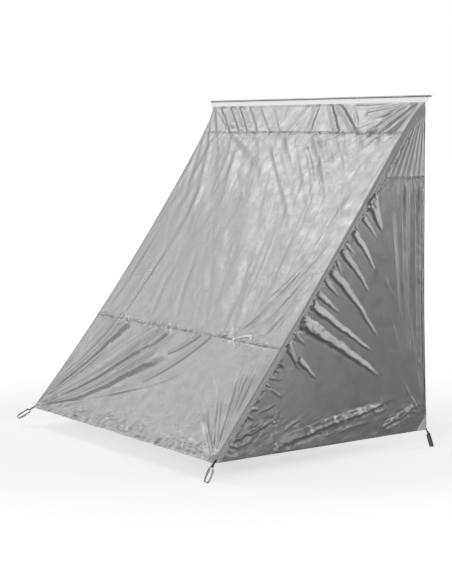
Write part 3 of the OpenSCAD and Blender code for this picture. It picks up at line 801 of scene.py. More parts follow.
def tube_faces(rings, around, closed=False):
    """Faces over rings of points; the ends are capped unless the tube is closed on itself."""
    i, j = np.meshgrid(np.arange(rings if closed else rings - 1), np.arange(around),
                       indexing="ij")
    following, beside = (i + 1) % rings, (j + 1) % around
    faces = np.stack([(i * around + j).ravel(), (i * around + beside).ravel(),
                      (following * around + beside).ravel(),
                      (following * around + j).ravel()], -1).tolist()
    if not closed:
        faces += [list(range(around))[::-1], [(rings - 1) * around + k for k in range(around)]]
    return faces


def stitch_row(points, normals, pitch=0.0065, length=0.0047, radius=0.00045):
    """A row of stitches along a path: each is three rings of five points."""
    run = run_length(points)
    count = int(run[-1] // pitch)
    starts = (np.arange(count) + 0.5) * run[-1] / count - length / 2
    angle = np.arange(5) * 2 * math.pi / 5
    rings = []
    # share of the length, lift in radii, ring size in radii
    for share, lift, size in ((0.0, -0.4, 0.45), (0.5, 0.55, 1.0), (1.0, -0.4, 0.45)):
        at = np.clip(starts + share * length, 0, run[-1])
        normal = unit(sample(at, run, normals))
        ahead = sample(np.clip(at + 1e-3, 0, run[-1]), run, points)
        back = sample(np.clip(at - 1e-3, 0, run[-1]), run, points)
        across = unit(np.cross(unit(ahead - back), normal))
        center = sample(at, run, points)[:, None] + normal[:, None] * (lift * radius)
        rings.append(center + size * radius * (np.cos(angle)[None, :, None] * across[:, None]
                                               + np.sin(angle)[None, :, None] * normal[:, None]))
    first = np.arange(count) * 15
    faces = []
    for ring in (0, 5):
        for i in range(5):
            j = (i + 1) % 5
            faces += np.stack([first + ring + i, first + ring + 5 + i,
                               first + ring + 5 + j, first + ring + j], -1).tolist()
    faces += [[i + k for k in range(5)] for i in first]
    faces += [[i + 14 - k for k in range(5)] for i in first]
    return np.stack(rings, 1).reshape(-1, 3), faces, None


# ------------------------------------------------------------------ materials
class Graph:
    """A cleared node tree and short ways to build in it."""

    def __init__(self, owner):
        owner.use_nodes = True
        self.tree = owner.node_tree
        self.tree.nodes.clear()

    def node(self, kind, **settings):
        node = self.tree.nodes.new(kind)
        for key, value in settings.items():
            setattr(node, key, value)
        return node

    def feed(self, socket, value):
        """Link a socket into an input, or set the input's value."""
        if isinstance(value, bpy.types.NodeSocket):
            self.tree.links.new(value, socket)
        else:
            socket.default_value = value

    def filled(self, kind, inputs, **settings):
        """A node with its inputs given by name or number."""
        node = self.node(kind, **settings)
        for key, value in inputs.items():
            self.feed(node.inputs[key], value)
        return node

    def math(self, operation, *values):
        return self.filled("ShaderNodeMath", dict(enumerate(values)),
                           operation=operation).outputs[0]


class Shader(Graph):
    def __init__(self, name):
        self.material = bpy.data.materials.new(name)
        super().__init__(self.material)
        output = self.node("ShaderNodeOutputMaterial")
        self.bsdf = self.node("ShaderNodeBsdfPrincipled")
        self.feed(output.inputs[0], self.bsdf.outputs[0])

    def surface(self, inputs):
        for key, value in inputs.items():
            self.feed(self.bsdf.inputs[key], value)

    def ramp(self, factor, *stops):
        """Grey ramp; stops are (position, value)."""
        node = self.node("ShaderNodeValToRGB")
        elements = node.color_ramp.elements
        while len(elements) < len(stops):
            elements.new(0.5)
        for element, (position, value) in zip(elements, stops):
            element.position = position
            element.color = (value, value, value, 1)
        self.feed(node.inputs[0], factor)
        return node.outputs[0]

    def noise(self, vector, scale, detail, rough, distortion=0.0):
        return self.filled("ShaderNodeTexNoise", {
            "Scale": scale, "Detail": detail, "Roughness": rough, "Distortion": distortion,
            "Vector": vector}).outputs["Fac"]

    def uv(self):
        return self.node("ShaderNodeUVMap", uv_map="dev").outputs[0]

    def coords(self):
        return self.node("ShaderNodeTexCoord").outputs["Object"]

    def mapping(self, vector, scale, rotation=(0, 0, 0)):
        return self.filled("ShaderNodeMapping", {
            "Scale": scale, "Rotation": rotation, "Vector": vector}).outputs[0]

    def bump(self, *layers):
        """Chained bumps; layers are (height, strength, distance in metres)."""
        normal = None
        for height, strength, distance in layers:
            node = self.filled("ShaderNodeBump", {
                "Strength": strength, "Distance": distance, "Height": height})
            if normal is not None:
                self.feed(node.inputs["Normal"], normal)
            normal = node.outputs[0]
        self.feed(self.bsdf.inputs["Normal"], normal)

    def mix(self, factor, *colors):
        first, second = ((*c, 1) if isinstance(c, tuple) else c for c in colors)
        return self.filled("ShaderNodeMix", {0: factor, 6: first, 7: second},
                           data_type="RGBA", blend_type="MIX").outputs[2]


def shade(color, factor):
    return tuple(min(1, channel * factor) for channel in color)


def grey(value, blue=None):
    return (value, value, value if blue is None else blue)


def coated_cloth(name, base, metal, rough, fine=1.0, streak=0.2, crinkle=0.3):
    """Coated cloth; fine, streak and crinkle scale the three kinds of relief."""
    shader = Shader(name)
    uv, coords = shader.uv(), shader.coords()
    # the coating is a little patchy, and paler along the crinkle lines
    patch = shader.noise(shader.mapping(coords, (1.6, 1.6, 1.6)), scale=2.0, detail=4, rough=0.55)
    speck = shader.noise(coords, scale=90, detail=3, rough=0.6)
    # crinkles: thin raised lines where a noise crosses its middle value, in clusters
    large = shader.ramp(shader.noise(shader.mapping(coords, (1, 1, 0.55)), scale=6.5, detail=1,
                                     rough=0.5, distortion=0.1),
                        (0.475, 0.0), (0.50, 1.0), (0.512, 0.0))
    small = shader.ramp(shader.noise(shader.mapping(coords, (1.2, 1.2, 0.8)), scale=15, detail=1,
                                     rough=0.5, distortion=0.1),
                        (0.46, 0.0), (0.50, 1.0), (0.52, 0.0))
    large_mask = shader.ramp(shader.noise(coords, scale=2.6, detail=2, rough=0.5),
                             (0.42, 0.0), (0.62, 1.0))
    small_mask = shader.ramp(shader.noise(shader.mapping(coords, (1.7, 1.3, 1.5)), scale=3.6,
                                          detail=2, rough=0.5), (0.46, 0.0), (0.62, 1.0))
    large = shader.math("MULTIPLY", large, large_mask)
    small = shader.math("MULTIPLY", small, small_mask)
    color = shader.mix(patch, shade(base, 0.90), shade(base, 1.07))
    color = shader.mix(shader.math("MULTIPLY", large, 0.10 * crinkle), color, shade(base, 1.30))
    color = shader.mix(shader.math("MULTIPLY", speck, 0.10), color, shade(base, 0.8))
    warp, weft = (shader.node("ShaderNodeTexWave", wave_type="BANDS", bands_direction=direction,
                              wave_profile="SIN") for direction in "XY")
    for wave in (warp, weft):
        for key, value in (("Scale", 320), ("Distortion", 0.6), ("Detail", 1), ("Vector", uv)):
            shader.feed(wave.inputs[key], value)
    weave = shader.math("MULTIPLY", warp.outputs["Fac"], weft.outputs["Fac"])
    shader.surface({
        "Base Color": color, "Metallic": metal,
        "Roughness": shader.ramp(shader.noise(coords, scale=14, detail=4, rough=0.6),
                                 (0.3, rough - 0.06), (0.7, rough + 0.08)),
        "Specular IOR Level": 0.6, "Sheen Weight": 0.10, "Sheen Roughness": 0.5})
    # soft crinkle at three sizes, then the creases and the weave
    medium = shader.noise(shader.mapping(coords, (1, 1, 0.75)), scale=17, detail=5, rough=0.62,
                          distortion=0.5)
    tiny = shader.noise(coords, scale=55, detail=4, rough=0.6, distortion=0.3)
    long_waves = shader.noise(shader.mapping(uv, (26, 3.4, 1), (0, 0, 0.35)), scale=1.0,
                              detail=4, rough=0.6)
    shader.bump((long_waves, 0.22 * streak, 0.008), (medium, 0.10 * fine, 0.006),
                (tiny, 0.10 * fine, 0.0018), (large, 0.55 * crinkle, 0.0011),
                (small, 0.45 * crinkle, 0.0006), (weave, 0.08, 0.00012))
    return shader.material


def webbing(name, base, edge, rib=900, rough=0.75):
    """Flat woven webbing. UV: x runs along in metres, y across from 0 to 1."""
    shader = Shader(name)
    parts = shader.filled("ShaderNodeSeparateXYZ", {0: shader.uv()}).outputs
    ribs = shader.math("SINE", shader.math("MULTIPLY", parts[0], rib))
    across = shader.math("MULTIPLY", parts[1], 62.0)
    half_rib = shader.math("MULTIPLY", parts[0], rib / 2)
    twill = shader.math("MULTIPLY", ribs, shader.math("SINE", shader.math("ADD", across, half_rib)))
    doubled = shader.math("MULTIPLY", parts[1], 2.0)
    from_middle = shader.math("ABSOLUTE", shader.math("SUBTRACT", doubled, 1.0))
    at_edge = shader.ramp(from_middle, (0.72, 0.0), (0.97, 1.0))
    grime = shader.noise(shader.coords(), scale=60, detail=4, rough=0.6)
    color = shader.mix(at_edge, base, edge)
    color = shader.mix(shader.math("MULTIPLY", grime, 0.25), color, shade(base, 0.72))
    raised = shader.math("MULTIPLY", shader.math("ADD", twill, 1.0), 0.08)
    color = shader.mix(raised, color, shade(base, 0.6))
    shader.surface({"Base Color": color, "Roughness": rough, "Specular IOR Level": 0.3,
                    "Sheen Weight": 0.15})
    shader.bump((grime, 0.15, 0.0008), (twill, 0.5, 0.00022))
    return shader.material


def simple(name, base, rough, metal=0.0, scale=60, bump=0.15, depth=0.0006, vary=0.12,
           stretch=(1, 1, 1)):
    """A plain surface with mottled colour and two sizes of relief."""
    shader = Shader(name)
    coords = shader.mapping(shader.coords(), stretch)
    coarse = shader.noise(coords, scale=scale, detail=4, rough=0.6)
    fine = shader.noise(coords, scale=scale * 7, detail=3, rough=0.5)
    shader.surface({
        "Base Color": shader.mix(coarse, shade(base, 1 - vary), shade(base, 1 + vary)),
        "Metallic": metal,
        "Roughness": shader.ramp(fine, (0.3, max(0.03, rough - 0.07)),
                                 (0.7, min(1, rough + 0.08))),
        "Specular IOR Level": 0.5})
    shader.bump((coarse, bump, depth), (fine, bump * 0.8, depth * 0.25))
    return shader.material


# Emission on a surface that is no lamp: painted light.
def add_painted_glow(material, strength):
    inputs = material.node_tree.nodes["Principled BSDF"].inputs
    inputs["Emission Color"].default_value = (1, 1, 1, 1)
    inputs["Emission Strength"].default_value = strength


front_cloth = coated_cloth("coated_cloth_front", grey(0.56, 0.565), metal=0.50, rough=0.40,
                           streak=0.6, crinkle=1.0)
# The front cloth where it wraps round the ridge, in a darker copy: painted shade on the rounded
# edge.
wrap_cloth_painted_shade = coated_cloth("coated_cloth_wrapped_edge", grey(0.38, 0.385), metal=0.15, rough=0.46,
                          fine=0.8)
# The side walls are the front's silver cloth in darker copies: painted shade, deepest on the lower
# walls.
side_cloth_painted_shade = coated_cloth("coated_cloth_side", grey(0.228, 0.232), metal=0.58, rough=0.34,
                          fine=0.6, streak=0.4, crinkle=0.35)
# The side walls' top panels: the same cloth darkened less, painted shade that is lighter where
# light from above reaches.
side_top_cloth_painted_shade = coated_cloth("coated_cloth_side_top", grey(0.39, 0.395), metal=0.40, rough=0.36,
                              fine=0.6, streak=0.4, crinkle=0.35)
band_cloth = coated_cloth("coated_cloth_seams", grey(0.50, 0.505), metal=0.45, rough=0.40)
# The side walls' hem cloth is near black: painted shade on the hems where they turn under.
hem_cloth_painted_shade = coated_cloth("coated_cloth_hems", grey(0.075, 0.077), metal=0.20, rough=0.44,
                         fine=0.8)
seam_tape = simple("seam_tape", grey(0.60, 0.61), rough=0.35, metal=0.1, scale=80, bump=0.1)
# A lighter copy of the front cloth for its bottom hem: painted highlight on the crumpled hem.
front_hem_cloth_painted_highlight = coated_cloth("coated_cloth_front_hem", grey(0.68, 0.685), metal=0.40,
                               rough=0.42, streak=0.3, crinkle=0.5)
thread = simple("sewing_thread", grey(0.30), rough=0.65, scale=900, bump=0.3, depth=0.0002)
white_cloth = simple("white_coated_strip", grey(0.96), rough=0.42, scale=40, bump=0.25,
                     depth=0.0010, vary=0.03)
# The strip glows though it is no lamp: painted light that keeps it bright white.
add_painted_glow(white_cloth, strength=0.28)
bead_plastic = simple("bead_cord", grey(0.80, 0.78), rough=0.5, scale=120, bump=0.2,
                      depth=0.0003, vary=0.05)
rail_metal = simple("rail_aluminium", grey(0.40, 0.395), rough=0.34, metal=1.0, scale=30,
                    bump=0.12, depth=0.0004, vary=0.10, stretch=(0.06, 1, 1))
pale_webbing = webbing("pale_webbing", grey(0.66, 0.65), edge=grey(0.10))
# A dark copy of the pale loop webbing for the rear loops: painted shade, as they hang on the shaded
# side.
grey_webbing = webbing("grey_webbing", grey(0.20), edge=grey(0.10))
black_webbing = webbing("black_webbing", grey(0.030, 0.032), edge=grey(0.015, 0.016), rough=0.7)
tie_webbing = webbing("white_tie_tape", grey(0.88), edge=grey(0.70), rib=1400, rough=0.8)
# The tie tapes and their pad glow though they are no lamp: painted light that keeps them bright
# white.
add_painted_glow(tie_webbing, strength=0.22)


# ------------------------------------------------------------------ cloth panels
def panel(name, sheet, rows, materials, top, bottom, node, split=None):
    """A run of rows of a sheet; columns beyond split take the second material."""
    points = sheet.points[rows]
    verts, faces, uv = shell(points, sheet.normals[rows], top, bottom, sheet.uv[rows])
    index = None
    if split is not None:
        beyond = np.abs(sheet.column[1:] + sheet.column[:-1]) / 2 > split
        index = np.zeros(len(faces), int)
        both_faces = np.tile(beyond, 2 * (len(points) - 1))
        index[:len(both_faces)] = both_faces
    place(make(name, verts, faces, materials, uv, index=index), "skin", "silver_cloth", node)


upper_row, lower_row = FRONT.row(UPPER_SEAM), FRONT.row(LOWER_SEAM)
# columns past the ridge take the darker wrapped-edge cloth: painted shade on the rounding
for part, rows in (("top", slice(0, upper_row + 1)), ("main", slice(upper_row, lower_row + 1)),
                   ("bottom", slice(lower_row, None))):
    panel(f"cloth_front_{part}", FRONT, rows, [front_cloth, wrap_cloth_painted_shade], 0.0, -CLOTH,
          f"front_{part}_panel", split=wrap_column(0.001))
for side, _, sheet in SIDES:
    seam_row = sheet.row(SIDE_SEAM)
    # both side cloths are darker copies of the front's cloth: painted shade
    for part, rows, material in (("top", slice(0, seam_row + 1), side_top_cloth_painted_shade),
                                 ("main", slice(seam_row, None), side_cloth_painted_shade)):
        panel(f"cloth_{side}_{part}", sheet, rows, material, -0.0004, -0.0011,
              f"{side}_{part}_panel")

# ------------------------------------------------------------------ front seams and hems
STITCH_INSET = 0.0215    # stitching above the bottom hems
stitches = {"front": [], "right": [], "left": []}


def sew(key, sheet, level, column, lift):
    points, normals, _ = sheet.at(level, column)
    stitches[key].append(stitch_row(points + normals * lift, normals))


def sew_across(level, overhang, lift):
    """Stitch across the whole front, ending overhang past the ridges."""
    across = np.linspace(-1, 1, 700) * (ridge_x(level) + overhang)
    sew("front", FRONT, level, front_column(level, across), lift)


def front_band(level, share, overhang, top, bottom):
    across = share * (ridge_x(level) + overhang)
    return FRONT.band(level, front_column(level, across), top, bottom)


def front_seam(name, seam, node, material):
    """A raised doubled band outside, sealed tape inside."""
    share = np.linspace(-1, 1, 420)[None]
    level = seam + np.array([-1, -0.86, -0.4, 0, 0.4, 0.86, 1])[:, None] * 0.0075 / SLOPE
    profile = np.array([0.0001, 0.0005, 0.0007, 0.0006, 0.0008, 0.0006, 0.0001])[:, None]
    inside = np.array([0, 1, 1, 1, 1, 1, 0])[:, None]
    top = profile + inside * np.abs(0.00035 * noise1(share * 60 + 5, 811))
    outer = front_band(level, share, 0.012, top, -0.0003)
    level = seam + np.array([-0.008, 0, 0.008])[:, None] / SLOPE
    inner = front_band(level, share, -0.03, -CLOTH - 0.0001, -CLOTH - 0.0007)
    place(make_pair(name, [outer, inner], [material, seam_tape]), "skin", "seam_tape", node)
    for offset in (-0.0052, 0.0046):
        sew_across(seam + offset / SLOPE, overhang=0.008, lift=0.0012)


front_seam("seam_front_upper", UPPER_SEAM, "front_top_seam_tape", band_cloth)
front_seam("seam_front_lower", LOWER_SEAM, "front_bottom_seam_tape", front_cloth)


def hem(sheet, level, column, level_step, column_step, width=0.025):
    """A folded hem along an edge; the steps move 1 m inwards from it."""
    profile = (    # distance in from the edge, offset along the normal
        (width, -0.0016), (width, -0.0026), (0.5 * width, -0.0027), (0.0018, -0.0026),
        (0.0004, -0.0022), (-0.0005, -0.0012), (-0.0005, -0.0002), (0.0002, 0.0006),
        (0.0016, 0.0008), (0.0030, 0.0006), (0.0032, 0.0001), (0.0014, -0.0002),
        (0.0007, -0.0006), (0.0010, -0.0015), (0.5 * width, -0.0017))
    lines = []
    for inset, offset in profile:
        inward = max(inset, 0.0)
        points, normals, _ = sheet.at(level + level_step * inward, column + column_step * inward)
        if inset < 0:
            inner, _, _ = sheet.at(level + level_step * 0.004, column + column_step * 0.004)
            points = points + unit(points - inner) * (-inset)
        lines.append(points + normals * offset)
    count, around = len(lines[0]), len(profile)
    uv = np.column_stack([np.repeat(np.linspace(0, 2, count), around),
                          np.tile([inset for inset, _ in profile], count)])
    return np.stack(lines, 1).reshape(-1, 3), tube_faces(count, around), uv


share = np.linspace(-1, 1, 360)
verts, faces, _ = hem(FRONT, 1.0, front_column(1.0, share * (ridge_x(1.0) - 0.016)),
                      -1 / SLOPE, 0.0)
# the bottom hem in the lighter cloth: painted highlight
place(fix_normals(make("hem_front_bottom", verts, faces, front_hem_cloth_painted_highlight)),
      "skin", "silver_cloth", "front_hem")
sew_across(1 - STITCH_INSET / SLOPE, overhang=-0.012, lift=0.0002)
# top hem, behind the flap of the beaded strip
verts, faces, uv = front_band(np.array([0.0012, 0.006, 0.0112])[:, None], share[None], -0.02,
                              -CLOTH - 0.0001, -CLOTH - 0.0012)
place(make("hem_top", verts, faces, front_cloth, uv), "skin", "silver_cloth", "top_hem")
for down in (0.004, 0.0225):
    sew_across(down / SLOPE, overhang=-0.006, lift=0.0002)


# ------------------------------------------------------------------ side seams, hems, patches
def rear_column(level, distance):
    """Side column at a distance in front of the rear edge."""
    return 1 - distance / (side_width(level) - SIDE_START)


def ridge_seam(side, sign):
    """The wrapped cloth's edge, folded under and sewn down."""
    level = np.linspace(0.024, 0.9975, 520)[:, None]
    past = np.array([0.0290, 0.0300, 0.0345, 0.0390, 0.0432, 0.0442])[None]
    column = sign * wrap_column(np.minimum(past, 0.8 * side_width(level)))
    top = (np.array([0.0001, 0.0007, 0.0009, 0.0008, 0.0009, 0.0002])[None]
           + 0.0003 * np.abs(noise1(level * 190, 821 + sign)) * np.array([0, 1, 1, 1, 1, 0]))
    verts, faces, uv = FRONT.band(level, column, top, -0.0004)
    # the folded edge is in the darker wrapped-edge cloth: painted shade
    place(make(f"ridge_seam_{side}", verts, faces, wrap_cloth_painted_shade, uv),
          "skin", "silver_cloth", f"{side}_ridge_tape")
    level = np.linspace(0.03, 0.996, 1500)
    for past in (0.0325, 0.0412):
        column = sign * wrap_column(np.minimum(past, 0.75 * side_width(level)))
        sew(side, FRONT, level, column, 0.0010)


def side_seam(side, sheet):
    share = np.linspace(0, 1, 150)[None]
    level = SIDE_SEAM + np.array([-1, -0.85, 0, 0.85, 1])[:, None] * 0.0075 / HEIGHT
    top = np.array([-0.0003, 0.0004, 0.0007, 0.0005, -0.0003])[:, None]
    outer = sheet.band(level, 0.02 + share * 0.975, top, -0.0006)
    level = SIDE_SEAM + np.array([-0.008, 0, 0.008])[:, None] / HEIGHT
    inner = sheet.band(level, 0.03 + share * 0.90, -0.0012, -0.0018)
    place(make_pair(f"seam_{side}_side", [outer, inner], [side_cloth_painted_shade, seam_tape]),
          "skin", "seam_tape", f"{side}_seam_tape")
    for offset in (-0.0052, 0.0048):
        sew(side, sheet, SIDE_SEAM + offset / HEIGHT, np.linspace(0.03, 0.985, 200), 0.0008)


def side_hems(side, sheet):
    def add_hem(edge, *shape, **options):
        verts, faces, uv = hem(sheet, *shape, **options)
        # the side hems take the near-black cloth: painted shade
        place(fix_normals(make(f"hem_{side}_{edge}", verts, faces, hem_cloth_painted_shade, uv)),
              "skin", "silver_cloth", f"{side}_{edge}_hem")

    add_hem("bottom", 1.0, np.linspace(0.008, 0.999, 300), -1 / HEIGHT, 0.0)
    sew(side, sheet, 1 - STITCH_INSET / HEIGHT, np.linspace(0.012, 0.985, 500), -0.0001)
    level = np.linspace(0.022, 0.999, 380)
    add_hem("rear", level, 1.0, 0.0, -1 / np.maximum(side_width(level) - SIDE_START, 0.03),
            width=0.023)
    level = np.linspace(0.05, 0.996, 800)
    sew(side, sheet, level, rear_column(level, 0.0205), -0.0001)


def corner_patches(side, sheet):
    """Triangular patches: outside at the rear corner, inside at the front corner."""
    top_level, low_level = 1 - 0.088 / HEIGHT, 0.9992
    level = np.linspace(top_level, low_level, 26)
    across = np.linspace(0, 1, 18)[None]

    def down_and_width(level):
        down = (level - top_level) / (low_level - top_level)
        return down, 0.002 + 0.072 * down

    down, width = (values[:, None] for values in down_and_width(level))
    column = rear_column(level[:, None], width * (1 - across))
    edge = np.minimum(np.minimum(across * width, (1 - across) * width + 0.002),
                      (1 - down) * 0.09 + 0.002)
    top = 0.0001 + 0.0009 * smooth(edge / 0.0018)
    verts, faces, uv = sheet.band(level[:, None], column, top, -0.0004)
    place(make(f"patch_rear_{side}", verts, faces, band_cloth, uv),
          "skin", "patch_cloth", f"rear_{side}_patch")
    line = np.linspace(level[3], 0.998, 60)
    for share in (0.10, 0.90):
        sew(side, sheet, line, rear_column(line, down_and_width(line)[1] * (1 - share)), 0.0011)
    line = 1 - 0.006 / HEIGHT
    sew(side, sheet, line, rear_column(line, np.linspace(0.064, 0.006, 40)), 0.0011)

    down = np.linspace(0, 1, 22)[:, None]
    level = 1 - 0.090 / HEIGHT * (1 - down)
    column = (0.002 + (0.004 + 0.080 * down) * across) / (side_width(level) - SIDE_START)
    verts, faces, uv = sheet.band(level, column, -0.0030, -0.0038)
    place(make(f"patch_front_{side}", verts, faces, side_cloth_painted_shade, uv),
          "skin", "patch_cloth", f"front_{side}_patch")


for side, sign, sheet in SIDES:
    ridge_seam(side, sign)
    side_seam(side, sheet)
    side_hems(side, sheet)
    corner_patches(side, sheet)
for key, parts in stitches.items():
    place(make_stitching(f"stitching_{key}", parts), "skin", "seam_tape")


# ------------------------------------------------------------------ woven bands
def rotate(vector, axis, angle):
    """A vector turned about a unit axis by one angle or an array of them."""
    angle = np.asarray(angle, float)[..., None]
    return (vector * np.cos(angle) + np.cross(axis, vector) * np.sin(angle)
            + axis * (vector @ axis) * (1 - np.cos(angle)))


# cross-section of a band: place across (-1 to 1) and height in half thicknesses
ACROSS = np.array([-1, -0.965, -0.88, -0.72, -0.55, -0.36, -0.18, 0,
                   0.18, 0.36, 0.55, 0.72, 0.88, 0.965, 1])
RISE = np.array([0, 0.75] + [1] * 11 + [0.75, 0])
SECTION_ACROSS = np.concatenate([ACROSS, ACROSS[-2:0:-1]])
SECTION_RISE = np.concatenate([RISE, -RISE[-2:0:-1]])
BUNDLE_RADIUS = 0.0019


def ribbon(centers, across, normals, half_width, half_thick, closed=False, gather=0.0, cup=0.0):
    """A woven band along its centers; gather pleats it into a bundle, cup hollows its face."""
    count = len(centers)
    half_width = np.broadcast_to(half_width, count)[:, None]
    gather = np.broadcast_to(gather, count)[:, None]

    def middle(c):
        x = (1 - gather) * c * half_width + gather * BUNDLE_RADIUS * np.sin(1.5 * math.pi * c)
        z = (1 - gather) * cup * (c * c - 0.4) + gather * 0.95 * BUNDLE_RADIUS * c
        return x, z

    section = SECTION_ACROSS[None]
    x, z = middle(section)
    before_x, before_z = middle(section - 0.01)
    after_x, after_z = middle(section + 0.01)
    run_x, run_z = after_x - before_x, after_z - before_z
    length = np.hypot(run_x, run_z)
    thick = half_thick * (1 - 0.45 * gather)
    x = x - run_z / length * SECTION_RISE[None] * thick
    z = z + run_x / length * SECTION_RISE[None] * thick
    verts = centers[:, None] + across[:, None] * x[..., None] + normals[:, None] * z[..., None]
    around = len(SECTION_ACROSS)
    uv = np.stack([np.repeat(run_length(centers), around),
                   np.tile((SECTION_ACROSS + 1) / 2, count)], -1)
    return verts.reshape(-1, 3), tube_faces(count, around, closed), uv


def band_stitches(centers, across, normals, rows, lift):
    """Stitches on a band: rows are start and end along it, then start and end across it."""
    run = run_length(centers)
    parts = []
    for start, end, start_off, end_off in rows:
        count = max(12, int((abs(end - start) + abs(end_off - start_off)) / 0.001))
        along = np.linspace(start, end, count)
        offset = np.linspace(start_off, end_off, count)[:, None]
        normal = sample(along, run, normals)
        points = (sample(along, run, centers) + sample(along, run, across) * offset
                  + normal * lift)
        parts.append(stitch_row(points, normal, pitch=0.0042, length=0.0030, radius=0.00033))
    return parts


# ------------------------------------------------------------------ rail, cord and strip
cord_low, cord_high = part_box("bead_cord")
BEAD_Y, BEAD_Z = (cord_low.y + cord_high.y) / 2, (cord_low.z + cord_high.z) / 2
CORD_END = cord_high.x
RAIL_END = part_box("awning_rail")[1].x


def arc(radius, start, end, count):
    """Points round the bead, start and end in degrees."""
    return [(radius * math.cos(angle), radius * math.sin(angle))
            for angle in np.radians(np.linspace(start, end, count))]


def extrude(name, profile, stations, material, warp=None, sharp_angle=35):
    """A profile in (y, z) carried along X; warp moves it at each x."""
    profile = np.array(profile)
    rings = []
    for x in stations:
        ring = warp(x, profile) if warp else profile
        rings.append(np.column_stack([np.full(len(ring), x), ring]))
    return fix_normals(make(name, np.concatenate(rings), tube_faces(len(rings), len(profile)),
                            material, sharp_angle=sharp_angle))


TUBE, CHANNEL = 0.0065, 0.0041          # outer and inner radius of the rail's tube
FLANGE, FLANGE_THICK = 0.030, 0.002     # flange reaches this far back from the bead
FLANGE_LOW = TUBE - FLANGE_THICK
LIP = CHANNEL + 0.00035 * 2.2           # radius at the rounded lips of the channel's mouth
HOLES, HOLE_PITCH, HOLE_RADIUS = 8, 0.280, 0.0023


def rail_profile():
    root = math.degrees(math.asin(FLANGE_LOW / TUBE))
    points = arc(TUBE, -86 + 3, root - 3, 28)
    points += [(TUBE * math.cos(math.radians(root)) + 0.0006, FLANGE_LOW)]
    points += [(FLANGE - 0.0005, FLANGE_LOW), (FLANGE - 0.00015, FLANGE_LOW + 0.00015),
               (FLANGE, FLANGE_LOW + 0.0006), (FLANGE, TUBE - 0.0006),
               (FLANGE - 0.00015, TUBE - 0.00015), (FLANGE - 0.0005, TUBE),
               (0.020, TUBE), (0.010, TUBE)]
    points += arc(TUBE, 90, 226 - 3, 34)
    points += arc(LIP, 226, 226, 1) + arc(CHANNEL, 222, -82, 70) + arc(LIP, -86, -86, 1)
    return [(y + BEAD_Y, z + BEAD_Z) for y, z in points]


def drill(obj, location):
    """Cut an upright hole through an object."""
    shape = bmesh.new()
    bmesh.ops.create_cone(shape, cap_ends=True, segments=40, radius1=HOLE_RADIUS,
                          radius2=HOLE_RADIUS, depth=0.02, matrix=Matrix.Translation(location))
    mesh = bpy.data.meshes.new("hole")
    shape.to_mesh(mesh)
    shape.free()
    cutter = bpy.data.objects.new("hole", mesh)
    bpy.context.scene.collection.objects.link(cutter)
    modifier = obj.modifiers.new("hole", "BOOLEAN")
    modifier.operation, modifier.solver, modifier.object = "DIFFERENCE", "EXACT", cutter
    bpy.context.view_layer.update()
    evaluated = obj.evaluated_get(bpy.context.evaluated_depsgraph_get())
    cut_mesh = bpy.data.meshes.new_from_object(evaluated)
    obj.modifiers.clear()
    obj.data = cut_mesh
    bpy.data.objects.remove(cutter)


stations = [-RAIL_END, -RAIL_END + 0.0004, *np.linspace(-1, 1, 9), RAIL_END - 0.0004, RAIL_END]
rail = extrude("rail_extrusion", rail_profile(), stations, rail_metal)
for k in range(HOLES):
    drill(rail, ((k - (HOLES - 1) / 2) * HOLE_PITCH, BEAD_Y + FLANGE - 0.010,
                 BEAD_Z + TUBE - FLANGE_THICK / 2))
rail.data.set_sharp_from_angle(angle=math.radians(35))
place(rail, "rail", "rail_metal", "awning_rail")

angles = np.arange(32) * math.pi / 16
verts = [(x, BEAD_Y + radius * math.cos(angle), BEAD_Z + radius * math.sin(angle))
         for x, radius in ((-CORD_END, 0.0022), (-CORD_END + 0.0008, 0.0030), (0.0, 0.0030),
                           (CORD_END - 0.0008, 0.0030), (CORD_END, 0.0022))
         for angle in angles]
cord = fix_normals(make("cord_bead", verts, tube_faces(5, 32), bead_plastic))
place(cord, "strip", "bead_plastic", "bead_cord")

# the strip: one doubled sheet folded round the cord; its front layer laps over the cloth
LEAN = math.radians(20)
LEAN_COS, LEAN_SIN = math.cos(LEAN), math.sin(LEAN)
STRIP_FACE = -0.00062    # front face of the strip, before it leans


def tilt(y, z):
    return (BEAD_Y + y * LEAN_COS + z * LEAN_SIN, BEAD_Z - y * LEAN_SIN + z * LEAN_COS)


def lap(down, offset):
    """A point over the cloth, down the slope from the top seam."""
    level = down / SLOPE
    return (slope_y(level) - 0.80 * offset, level_z(level) + 0.60 * offset)


def strip_profile():
    points = [lap(0.0062, 0.00035), lap(0.0064, 0.0006), lap(0.0060, 0.00085),
              lap(0.003, 0.0009), lap(0.0004, 0.0010)]
    points += [tilt(STRIP_FACE, -z) for z in (0.027, 0.024, 0.020, 0.016, 0.012, 0.008, 0.0048)]
    points += [tilt(y, z) for y, z in arc(0.00372, 256, -76, 60)]
    points += [tilt(0.00060, -z) for z in (0.0048, 0.010, 0.016, 0.022, 0.027)]
    points += [tilt(0.0005, -0.0288), tilt(0.0002, -0.0290), tilt(0.00005, -0.0286),
               tilt(0.00005, -0.016), tilt(0.00005, -0.006)]
    points += [tilt(y, z) for y, z in arc(0.00312, -86, 266, 56)]
    points += [tilt(-0.00005, -0.006), tilt(-0.00005, -0.016), tilt(-0.00008, -0.0275)]
    return points + [lap(0.0006, 0.0003), lap(0.003, 0.0003)]


def strip_wave(x, points):
    """Slow waves in Y below the cord, still at the strip's ends."""
    drop = np.clip((BEAD_Z - 0.006 - points[:, 1]) / 0.024, 0, 1)
    wave = 0.00055 * noise1(x / 0.045 + 20, 903) + 0.0008 * noise1(x / 0.30 + 3, 905)
    moved = points.copy()
    moved[:, 0] -= wave * np.sin(np.pi * drop) * 0.9 * smooth((CORD_END - abs(x)) / 0.03)
    return moved


